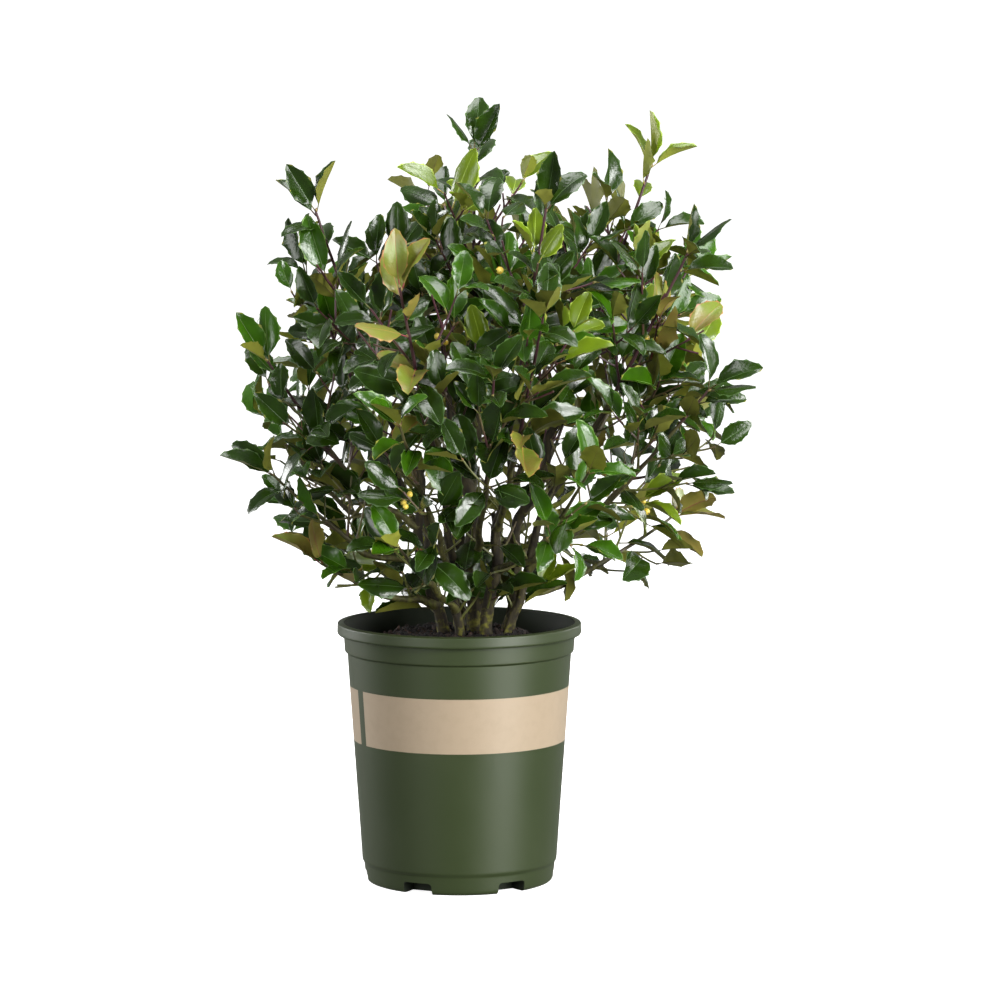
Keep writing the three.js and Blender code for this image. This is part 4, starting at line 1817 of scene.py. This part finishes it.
@dataclass
class Wood:
    """The bark of the stems and boughs, in relief, with the stubs of shoots that were cut back."""

    plan: ShrubPlan
    ring_step: float = 3.2
    stem_sides: int = 22
    bough_sides: int = 14
    ridge: float = 0.11  # of the radius
    ridge_length: float = 26
    knob: float = 0.26  # of the radius
    collar: float = 0.55  # by which a bough is thicker where it leaves the stem
    bough_pattern: int = 40  # added to a bough's number, so that its bark is like no stem's
    stub_seed: int = 61
    stub_count: int = 9
    stub_sides: int = 10
    stub_rings: tuple[Span, ...] = ((0.0, 1.5), (0.3, 1.12), (0.75, 1.0), (1.0, 0.96))  # place and share of the radius

    def build(self) -> list[Object]:
        """Builds a piece for each stem and bough, and one for the stubs.

        Returns:
            The dressed pieces.
        """
        pieces = []
        stem_bark, bough_bark = STEM_BARK.material(), BOUGH_BARK.material()
        for slot, bark, limbs, sides in (
            ("stem_bark", stem_bark, self.plan.stems, self.stem_sides),
            ("bough_bark", bough_bark, self.plan.boughs, self.bough_sides),
        ):
            for number, planned in enumerate(limbs):
                forked = planned.stem is not None
                mesh = self._bark_mesh(planned.limb, sides, number + self.bough_pattern * forked, forked)
                pieces.append(dressed(mesh_object(f"bark_{planned.name}", mesh), [planned.name], bark))
        pieces.append(self._stubs(stem_bark))
        return pieces

    def _bark_mesh(self, limb: Limb, sides: int, seed: int, forked: bool) -> Mesh:
        """A closed tube with ridges that run along it, knobs where shoots once stood and, at a fork, a collar.

        Args:
            limb: The stem or bough.
            sides: How many sides the tube has.
            seed: Tells its pattern from others'.
            forked: Whether it leaves another limb.

        Returns:
            The mesh.
        """
        rings = max(8, round(limb.length / self.ring_step))
        rows = []
        for ring in range(rings + 1):
            row, place = [], ring / rings
            along = place * limb.length
            radius = limb.diameter_at(place) / 2
            if forked:
                radius *= 1 + self.collar * math.exp(-along / (2.2 * radius))
            sway = noise.noise_vector(Vector((seed * 2.7, along / 22, 3.0))) * (radius * 0.3 * min(1, 6 * place))
            centre = limb.point_at(place) + sway * min(1.0, 8 * (1 - place))
            normal, binormal = limb.across_at(place)
            for s in range(sides):
                turn = math.tau * s / sides
                outwards = normal * math.cos(turn) + binormal * math.sin(turn)
                pattern = Vector((outwards.x * 2.2, outwards.y * 2.2, along / self.ridge_length + seed * 9.1))
                ridges = noise.noise(pattern) + 0.6 * noise.noise(pattern * 2.6 + Vector((0, 0, seed)))
                knobs = max(0.0, noise.noise(Vector((turn * 0.9, along / 9, seed * 3.3))) - 0.28)
                swell = 1 + self.ridge * ridges * 1.6 + self.knob * 2.2 * knobs
                row.append(centre + outwards * (radius * swell))
            rows.append(row)
        points, faces, _ = closed_tube(rows, limb.point_at(0), limb.point_at(1))
        return faces_outwards(mesh_of("bark", points, faces))

    def _stubs(self, bark: Material) -> Object:
        """Builds short cut-off shoots on the stems, with their pale cut ends.

        Args:
            bark: The stems' finish.

        Returns:
            The dressed piece.
        """
        chance = seeded(self.stub_seed)
        points: list[Vector] = []
        faces: list[tuple[int, ...]] = []
        cuts: list[int] = []
        sides, last = self.stub_sides, len(self.stub_rings) - 1
        for number in range(self.stub_count):
            planned = self.plan.stems[number % len(self.plan.stems)]
            place = 0.16 + 0.34 * chance()
            limb = planned.limb
            direction = lifted(limb.opened_at(place, 42 + 20 * chance(), 360 * chance()), 0.1)
            radius = min(3.6, limb.diameter_at(place) * mix(0.22, 0.3, chance()))
            length = limb.diameter_at(place) / 2 + mix(5, 13, chance())
            across = direction.orthogonal().normalized()
            over = direction.cross(across)
            first = len(points)
            for along, share in self.stub_rings:
                for s in range(sides):
                    turn = math.tau * s / sides
                    bump = 1 + 0.1 * noise.noise(Vector((turn, along * 3, number * 5.0)))
                    outwards = across * math.cos(turn) + over * math.sin(turn)
                    slant = 0.25 * radius * math.cos(turn) if along == 1.0 else 0.0
                    middle = limb.point_at(place) + direction * (along * length + slant)
                    points.append(middle + outwards * (radius * share * bump))
            for ring in range(last):
                for s in range(sides):
                    a, b = first + ring * sides, first + (ring + 1) * sides
                    faces.append((a + s, a + (s + 1) % sides, b + (s + 1) % sides, b + s))
            faces.append(tuple(first + s for s in reversed(range(sides))))
            cuts.append(len(faces))
            faces.append(tuple(first + last * sides + s for s in range(sides)))
        mesh = mesh_of("pruning_stubs", points, faces)
        mesh.materials.append(bark)
        mesh.materials.append(CUT_WOOD.material())
        for cut in cuts:
            mesh.polygons[cut].material_index = 1
        faces_outwards(mesh)
        mesh.set_sharp_from_angle(angle=math.radians(50))
        return dressed(mesh_object("pruning_stubs", mesh))


# ==== Pot and potting mix ====


@dataclass(frozen=True)
class Corner:
    """A corner of a turned outline, rounded by a radius of its own."""

    radius: float
    height: float
    rounding: float = 0.0
    inside: bool = False


def rounded(corners: Sequence[Corner], steps: int = 5) -> list[Corner]:
    """Rounds the corners of an outline.

    Args:
        corners: The outline's corners in order.
        steps: How many pieces each rounding has.

    Returns:
        The points of the rounded outline.
    """
    made = [corners[0]]
    for before, corner, after in zip(corners, corners[1:], corners[2:]):
        if not corner.rounding:
            made.append(corner)
            continue
        here = Vector((corner.radius, corner.height))
        back = Vector((before.radius, before.height)) - here
        ahead = Vector((after.radius, after.height)) - here
        cut = min(corner.rounding, 0.48 * back.length, 0.48 * ahead.length)
        start, end = here + back.normalized() * cut, here + ahead.normalized() * cut
        # A ring just outside each end of the rounding keeps the flat faces shaded flat.
        spots = [here + back.normalized() * min(cut + 0.3, 0.49 * back.length)]
        for i in range(steps + 1):
            t = i / steps
            spots.append(start * (1 - t) ** 2 + here * (2 * t * (1 - t)) + end * t**2)
        spots.append(here + ahead.normalized() * min(cut + 0.3, 0.49 * ahead.length))
        made += [Corner(spot.x, spot.y, 0.0, corner.inside) for spot in spots]
    made.append(corners[-1])
    return made


def lathe(outline: Sequence[Corner], segments: int, name: str) -> tuple[Mesh, list[tuple[int, int]]]:
    """Turns an outline that starts and ends on the axis round +Z.

    Args:
        outline: Its points, in millimetres.
        segments: How many columns the mesh has.
        name: The mesh's name.

    Returns:
        The mesh, and the outline piece and column of each of its faces.
    """
    points: list[tuple[float, float, float]] = []
    rows: list[list[int]] = []
    for corner in outline:
        first = len(points)
        if corner.radius < 1e-6:
            points.append((0.0, 0.0, corner.height))
            rows.append([first] * segments)
            continue
        for s in range(segments):
            turn = math.tau * s / segments
            points.append((corner.radius * math.cos(turn), corner.radius * math.sin(turn), corner.height))
        rows.append(list(range(first, first + segments)))
    faces, places = [], []
    for piece, (row, above) in enumerate(zip(rows, rows[1:])):
        for s in range(segments):
            after = (s + 1) % segments
            ring = (row[s], row[after], above[after], above[s])
            faces.append(tuple(dict.fromkeys(ring)))
            places.append((piece, s))
    return mesh_of(name, points, faces), places


@dataclass
class NurseryPot:
    """A moulded nursery pot: rolled lip, collar, tapered body with a printed band, heel and six feet."""

    height: float = 246
    wall: float = 2.2
    lip_radius: float = 115
    lip_height: float = 11
    collar_radius: float = 109
    step_level: float = 218
    body_top_radius: float = 105.6
    body_foot_radius: float = 91.8
    heel_radius: float = 90.2
    heel_height: float = 19
    foot_radius: float = 88.2
    foot_ring_inner_radius: float = 66
    floor_rise: float = 11.5
    floor_taper: float = 6
    pad_radius: float = 27
    notches: int = 6
    notch_width: float = 29
    notch_height: float = 11
    notch_turn: float = 4
    notch_rounding: float = 3.5
    band: Span = (135.0, 186.5)
    band_gap: Span = (204.0, 210.0)  # bearings between the band's two ends
    segments: int = 180

    def body_radius(self, level: float) -> float:
        """The body's outer radius at a height."""
        share = (level - self.heel_height) / (self.step_level - self.heel_height)
        return mix(self.body_foot_radius, self.body_top_radius, share)

    def outline(self) -> list[Corner]:
        """Draws the pot's outline, from the middle of its underside round the lip to the middle of its floor.

        Returns:
            The rounded outline.
        """
        lip_foot = self.height - self.lip_height
        wall, taper = self.wall, self.floor_taper
        return rounded(
            [
                Corner(0, 0),
                Corner(self.pad_radius, 0, 1.5),
                Corner(self.pad_radius + taper, self.floor_rise, 3),
                Corner(self.foot_ring_inner_radius - taper, self.floor_rise, 3),
                Corner(self.foot_ring_inner_radius, 0, 1.5),
                Corner(self.foot_radius, 0, 4.5),
                Corner(self.heel_radius, self.heel_height - 1.25, 1.2),
                Corner(self.body_foot_radius, self.heel_height + 1.25, 1.6),
                Corner(self.body_radius(self.band[0]), self.band[0]),
                Corner(self.body_radius(self.band[1]), self.band[1]),
                Corner(self.body_top_radius - 0.1, self.step_level - 0.7, 0.5),
                Corner(self.collar_radius - 1.1, self.step_level + 0.7, 0.9),
                Corner(self.collar_radius, lip_foot, 0.8),
                Corner(self.lip_radius - 0.9, lip_foot - 0.2, 0.7),
                Corner(self.lip_radius, lip_foot + 1.2, 0.9),
                Corner(self.lip_radius - 0.3, self.height - 0.9, 0.8),
                Corner(self.lip_radius - 5.4, self.height, 0.7),
                Corner(self.lip_radius - 7.0, self.height - 1.2, 1.6, True),
                Corner(self.collar_radius - wall, self.step_level + 4, 1.5, True),
                Corner(self.body_radius(self.step_level) - wall, self.step_level, 1.5, True),
                Corner(self.body_foot_radius - wall, self.heel_height + wall, 1.5, True),
                Corner(self.heel_radius - wall, self.floor_rise + wall, 3, True),
                Corner(0, self.floor_rise + wall, 0, True),
            ]
        )

    def build(self) -> list[Object]:
        """Builds the pot, cuts the pockets under it and gives its surfaces their finishes.

        Returns:
            The dressed pieces.
        """
        outline = self.outline()
        mesh, places = lathe(outline, self.segments, "nursery_pot")
        for finish in (POT_PLASTIC, POT_BAND, POT_PAINTED_SHADE):
            mesh.materials.append(finish.material())
        low, high = self.band
        for polygon, (piece, column) in zip(mesh.polygons, places):
            a, b = outline[piece], outline[piece + 1]
            bearing = (column + 0.5) * 360 / self.segments
            printed = a.height >= low - 0.01 and b.height <= high + 0.01 and a.height < b.height
            # The inner wall and floor take the nearly black finish, which is painted shade.
            if a.inside and b.inside:
                polygon.material_index = 2
            elif printed and not self.band_gap[0] < bearing < self.band_gap[1]:
                polygon.material_index = 1
        faces_outwards(mesh)
        pot = mesh_object("nursery_pot", mesh)
        self._cut_notches(pot)
        pot.data.set_sharp_from_angle(angle=math.radians(42))
        return [dressed(pot, ["pot"])]

    def _cut_notches(self, pot: Object) -> None:
        """Cuts the pockets that part the feet, with rounded upper edges, and bakes the cut into the mesh.

        Args:
            pot: The pot.
        """
        tool = bmesh.new()
        inner = self.foot_ring_inner_radius + self.wall
        length = self.lip_radius
        for i in range(self.notches):
            cube = bmesh.ops.create_cube(tool, size=1)["verts"]
            size = Matrix.Diagonal((length, self.notch_width, 2 * self.notch_height, 1))
            edges = {e for v in cube for e in v.link_edges}
            upper = [
                edge
                for edge in edges
                if all(v.co.z > 0 for v in edge.verts) and abs(edge.verts[0].co.x - edge.verts[1].co.x) > 0.5
            ]
            bmesh.ops.transform(tool, matrix=size, verts=cube)
            rounding = {"offset": self.notch_rounding, "segments": 4, "profile": 0.5}
            made = bmesh.ops.bevel(tool, geom=upper, affect="EDGES", **rounding)
            body = {v for v in cube if v.is_valid} | {v for v in made["verts"]}
            turn = Matrix.Rotation(math.radians(self.notch_turn - 90 + (i + 0.5) * 360 / self.notches), 4, "Z")
            shift = Matrix.Translation((inner + length / 2, 0, 0))
            bmesh.ops.transform(tool, matrix=turn @ shift, verts=list(body))
        bmesh.ops.scale(tool, vec=(METRES,) * 3, verts=tool.verts)
        bmesh.ops.recalc_face_normals(tool, faces=tool.faces)
        cutter_mesh = bpy.data.meshes.new("notch_tool")
        tool.to_mesh(cutter_mesh)
        tool.free()
        for material in pot.data.materials:
            cutter_mesh.materials.append(material)
        # The pockets' walls take the same nearly black finish, which is painted shade.
        for polygon in cutter_mesh.polygons:
            polygon.material_index = 2
        cutter = mesh_object("notch_tool", cutter_mesh)
        cut = pot.modifiers.new("notches", "BOOLEAN")
        cut.operation, cut.solver, cut.object = "DIFFERENCE", "EXACT", cutter
        make_plain(pot)
        bpy.data.objects.remove(cutter)


@dataclass
class PottingMix:
    """The mounded potting mix, with crumbs and chips of bark on it."""

    pot: NurseryPot
    plateau_level: float = MIX_LEVEL
    plateau_radius: float = 52
    edge_level: float = 215.5
    edge_radius: float = 102.9
    gap: float = 0.3  # between the mix and the pot's wall
    lumps: float = 4.2
    segments: int = 120
    rings: int = 46
    crumbs: Span = (1.8, 6.2)
    chips: Span = (6, 19)
    crumb_density: float = 90000  # a square metre
    chip_density: float = 4200

    def level(self, x: float, y: float) -> float:
        """Finds the height of the mound at a point.

        Args:
            x: To the right.
            y: To the back.

        Returns:
            The height above the ground.
        """
        out = math.hypot(x, y)
        share = held((out - self.plateau_radius) / (self.edge_radius - self.plateau_radius))
        fall = share * share * (3 - 2 * share)
        rough = noise.fractal(Vector((x, y, 0)) / 17, 1.0, 2.1, 4)
        fade = min(1.0, (self.edge_radius - out) / 6) if out < self.edge_radius else 0.0
        return mix(self.plateau_level, self.edge_level, fall) + self.lumps * rough * (0.35 + 0.65 * share) * fade

    def build(self) -> list[Object]:
        """Builds the mound, and strews crumbs and chips over it.

        Returns:
            The dressed pieces.
        """
        surface, mound = self._mound()
        finish = POTTING_BARK.material()
        pieces = [dressed(mesh_object("potting_mix", mound), ["soil"], finish)]
        for name, bark, crumb, sizes, density, seed in (
            ("bark_crumbs", CRUMB_BARK, Crumb(), self.crumbs, self.crumb_density, 3),
            ("bark_chips", CHIP_BARK, Crumb((1.0, 0.42, 0.24), 5, 0.5, 77), self.chips, self.chip_density, 8),
        ):
            forms = form_collection(f"{name}_form", crumb.meshes())
            tree = litter_tree(forms, [bark.material()], seed)
            values = {"Density": density, "Smallest": sizes[0] * METRES, "Largest": sizes[1] * METRES}
            pieces.append(dressed(tree.grow(name, surface.copy(), values)))
            put_away(forms)
        bpy.data.meshes.remove(surface)
        return pieces

    def _mound(self) -> tuple[Mesh, Mesh]:
        """Turns the mound and gives it its lumps.

        Returns:
            The upper surface alone, and the whole body down to the pot's floor.
        """
        pot, gap = self.pot, self.gap
        skin = pot.wall + gap
        top = [Corner(self.edge_radius * (i / self.rings) ** 0.9, 0) for i in range(self.rings + 1)]
        side = [
            Corner(pot.body_foot_radius - skin, pot.heel_height + skin),
            Corner(pot.heel_radius - skin, pot.floor_rise + skin),
            Corner(0, pot.floor_rise + skin),
        ]
        meshes = []
        for outline in (top, top + side):
            mesh, _ = lathe(outline, self.segments, "potting_mix")
            for vertex in mesh.vertices:
                if vertex.co.z == 0:
                    x, y = vertex.co.x / METRES, vertex.co.y / METRES
                    vertex.co.z = self.level(x, y) * METRES
            meshes.append(mesh)
        surface, body = meshes
        faces_outwards(body)
        # An open sheet has no outside, so its faces are turned to the sky.
        if surface.polygons[len(surface.polygons) // 2].normal.z < 0:
            surface.flip_normals()
        return surface, body


# ==== Studio ====


@dataclass(frozen=True)
class SoftLight:
    """A square area light that looks at the plant."""

    name: str
    place: tuple[float, float, float]  # metres
    side: float  # metres
    power: float  # watts


@dataclass
class Studio:
    """A pale seamless floor, soft lights and the camera. Sizes are in metres."""

    eye: tuple[float, float, float] = (0.0383, -4.258, 0.8146)
    aim: tuple[float, float, float] = (0.0383, 0.0, 0.3607)
    lens: float = 164.1
    sensor: float = 36.0
    floor_side: float = 80.0
    wall_radius: float = 30.0
    wall_height: float = 24.0
    front_sky: float = 0.05  # strength of the light from low in front
    back_sky: float = 0.42
    bounce: float = 0.2  # strength of the light that a white floor throws up
    middle: tuple[float, float, float] = (0.0, 0.0, 0.4)
    lights: tuple[SoftLight, ...] = (
        SoftLight("key_light", (2.2, -2.4, 1.8), 0.9, 110),
        SoftLight("side_light", (2.45, -2.1, 0.36), 1.7, 130),
        SoftLight("fill_light", (-2.1, -2.9, 0.9), 1.5, 60),
        SoftLight("top_light", (0.2, -0.3, 3.0), 1.5, 75),
        SoftLight("rim_light", (-2.6, 1.2, 0.8), 1.1, 66),
        SoftLight("far_light", (2.3, 1.7, 0.9), 1.1, 40),
    )

    def build(self) -> None:
        """Sets the floor, the lights, the sky, the camera and the way that light becomes colour."""
        half = self.floor_side / 2 / METRES
        corners = [(-half, -half, 0), (half, -half, 0), (half, half, 0), (-half, half, 0)]
        floor = mesh_object("floor", mesh_of("floor", corners, [(0, 1, 2, 3)]))
        floor.data.materials.append(FLOOR_PAPER.material())
        self._stage(floor)
        height, radius = self.wall_height / METRES, self.wall_radius / METRES
        mesh, _ = lathe([Corner(radius, 0), Corner(radius, height), Corner(0, height)], 64, "wall")
        wall = mesh_object("wall", mesh)
        wall.data.materials.append(WALL_PAPER.material())
        wall.visible_shadow = False
        self._stage(wall)
        for light in self.lights:
            lamp = bpy.data.lights.new(light.name, "AREA")
            lamp.shape, lamp.size, lamp.energy = "SQUARE", light.side, light.power
            self._place(bpy.data.objects.new(light.name, lamp), light.place, self.middle)
        self._light_sky()
        camera = bpy.data.cameras.new("camera")
        camera.lens, camera.sensor_width = self.lens, self.sensor
        camera.clip_end = 200
        camera.dof.use_dof = False
        seat = bpy.data.objects.new("camera", camera)
        self._place(seat, self.eye, self.aim)
        bpy.context.scene.camera = seat
        bpy.context.scene.view_settings.view_transform = "Standard"

    def _stage(self, paper: Object) -> None:
        """Marks the floor or the far wall, neither of which throws light on the plant."""
        paper.visible_diffuse = paper.visible_glossy = False

    def _light_sky(self) -> None:
        """Lights the studio softly from above and behind, with a dark room in front, so that gloss stands out."""
        world = bpy.data.worlds.new("studio")
        bpy.context.scene.world = world
        world.use_nodes = True
        tree = world.node_tree
        view = add_node(tree, "ShaderNodeTexCoord").outputs["Generated"]
        way = add_node(tree, "ShaderNodeVectorMath", {0: view, 1: (0, 0.6, 0.8)}, operation="DOT_PRODUCT")
        above = {"Value": way.outputs["Value"], "From Min": -0.5, "From Max": 0.9}
        above |= {"To Min": self.front_sky, "To Max": self.back_sky}
        strength = add_node(tree, "ShaderNodeMapRange", above)
        height = add_node(tree, "ShaderNodeSeparateXYZ", {"Vector": view}).outputs["Z"]
        below = {"Value": height, "From Min": 0.0, "From Max": -0.8, "To Min": 0.0, "To Max": self.bounce}
        thrown = add_node(tree, "ShaderNodeMapRange", below).outputs["Result"]
        whole = add_node(tree, "ShaderNodeMath", {0: strength.outputs["Result"], 1: thrown}, operation="ADD")
        background = tree.nodes["Background"]
        background.inputs["Color"].default_value = (1, 1, 1, 1)
        tree.links.new(whole.outputs["Value"], background.inputs["Strength"])

    def _place(self, item: Object, place: Sequence[float], aim: Sequence[float]) -> None:
        """Puts a lamp or camera into the scene.

        Args:
            item: The lamp or camera.
            place: Where it stands.
            aim: The point that it looks at.
        """
        bpy.context.scene.collection.objects.link(item)
        item.location = place
        item.rotation_euler = (Vector(aim) - Vector(place)).to_track_quat("-Z", "Y").to_euler()


# ==== Finishes of this plant and pot ====

# Polypropylene that is coloured through: it looks even, and its pebbled skin gives a broad soft highlight.
POT_PLASTIC = MouldedPolypropylene("olive moulded polypropylene", "#2c3719", 0.46, 1.47, "#384126")
# The same plastic, nearly black and dull: painted shade on the inner wall and in the pockets under the pot.
POT_PAINTED_SHADE = MouldedPolypropylene("stained polypropylene wall", "#151d0d", 0.75, 1.4, "#1c2412")
# Ink on film: it hides the green and looks like smooth card.
POT_BAND = PrintedFilm("cream printed film", "#9f8e77", 0.5, 1.5, "#988871")
# Composted bark: it swallows light, and moist fibres show red-brown.
POTTING_BARK = CompostedBark("composted bark", "#100c0c", 0.85, 1.45, "#33231b")
CRUMB_BARK = CompostedBark("composted bark crumbs", "#130e0e", 0.8, 1.45, "#38241a")
CHIP_BARK = CompostedBark("composted bark chips", "#231814", 0.75, 1.45, "#533628")
# Old holly bark: smooth and grey-brown, with moss that gives the foot a yellow-green bloom.
STEM_BARK = HollyBark("mossy stem bark", "#1e1911", 0.85, 1.45, "#3e3820")
# Younger bark: olive, finely streaked, a little smoother.
BOUGH_BARK = HollyBark("olive bough bark", "#35311d", 0.6, 1.45, "#5f5e2b", moss="#6b702d", moss_share=0.34)
# A fresh cut: end grain of pale red-brown wood.
CUT_WOOD = Skin("cut end grain", "#9a5b46", 0.7, 1.45, "#7c4536", clouds=Grain(2))
# Shoots of this year and last: smooth olive skin that the sun turns purple-brown.
TWIG_FINISHES = {
    TwigKind.LEADING: ShootSkin("leading shoot skin", "#4a4828", 0.5, 1.45, "#42272c", clouds=Grain(40)),
    TwigKind.YOUNG: ShootSkin("young shoot skin", "#5f6230", 0.45, 1.45, "#4b2a31", clouds=Grain(60)),
}
# The wax on a leaf's upper side gives a clear gloss. Its under side has none.
LEAF_FINISHES = {
    Tint.MATURE: (
        WaxyBlade("mature waxy blade", "#243d06", 0.23, 1.44, "#162704"),
        Skin("mature midrib and margin", "#476330", 0.38, 1.45, "#3a5427"),
        MattBlade("mature leaf underside", "#76782f", 0.5, 1.42, "#656727"),
        Skin("mature leaf stalk", "#656a30", 0.5, 1.45, "#563733"),
    ),
    Tint.GREEN: (
        WaxyBlade("green waxy blade", "#325a06", 0.23, 1.44, "#264405"),
        Skin("green midrib and margin", "#628236", 0.38, 1.45, "#53732e"),
        MattBlade("green leaf underside", "#868a30", 0.5, 1.42, "#757829"),
        Skin("green leaf stalk", "#868d3c", 0.5, 1.45, "#744c38"),
    ),
    Tint.FRESH: (
        WaxyBlade("fresh waxy blade", "#5f7609", 0.28, 1.44, "#4f6208"),
        Skin("fresh midrib and margin", "#9db245", 0.4, 1.45, "#8ba33c"),
        MattBlade("fresh leaf underside", "#889033", 0.52, 1.42, "#78802d"),
        Skin("fresh leaf stalk", "#b0b552", 0.5, 1.45, "#96504a"),
    ),
    Tint.BRONZE: (
        WaxyBlade("bronze young blade", "#6c7a28", 0.33, 1.45, "#786a30"),
        Skin("bronze midrib and margin", "#a8853f", 0.4, 1.45, "#8f5a3f"),
        MattBlade("bronze leaf underside", "#928a3e", 0.52, 1.42, "#8c723a"),
        Skin("bronze leaf stalk", "#a04a4c", 0.5, 1.45, "#8a3d47"),
    ),
}
# A ripe yellow berry has a taut skin and a dry dark eye.
BERRY_FINISHES = (
    Skin("yellow berry skin", "#d3b23a", 0.3, 1.4, "#dcc65c", clouds=Grain(5)),
    Skin("dry berry eye", "#2b1f16", 0.8, 1.4, "#3a2a1c"),
    Skin("berry stalk", "#8f9440", 0.5, 1.45, "#4d5a2c"),
)
BUD_FINISHES = (Skin("bud scales", "#8d8a4a", 0.5, 1.45, "#7a5c40", clouds=Grain(3)),)
# Matt white sheet, lit from behind.
FLOOR_PAPER = PaleFloor("white studio sheet", "#dedede", 0.9, 1.3, glow=0.9)
WALL_PAPER = PaleFloor("white studio wall", "#dedede", 0.9, 1.3, glow=1.0)


# ==== The whole scene ====


def triangle_count(piece: Object) -> int:
    """How many triangles a piece has."""
    return sum(len(polygon.vertices) - 2 for polygon in piece.data.polygons)


def main() -> None:
    """Builds the plant, its pot and the studio, and reports each piece."""
    logging.basicConfig(level=logging.INFO, format="%(name)s: %(message)s")
    noise.seed_set(NOISE_SEED)
    plan = ShrubPlan()
    growth = LeafyGrowth(plan)
    LOG.info("leaves: %s", {tint.value: len(leaves) for tint, leaves in growth.leaves.items()})
    pot = NurseryPot()
    total = 0
    for assembly in (pot, PottingMix(pot), Wood(plan), Foliage(growth)):
        for piece in assembly.build():
            triangles = triangle_count(piece)
            total += triangles
            LOG.info("%s: %d triangles", piece.name, triangles)
    LOG.info("whole plant: %d triangles", total)
    Studio().build()


if __name__ == "__main__":
    main()
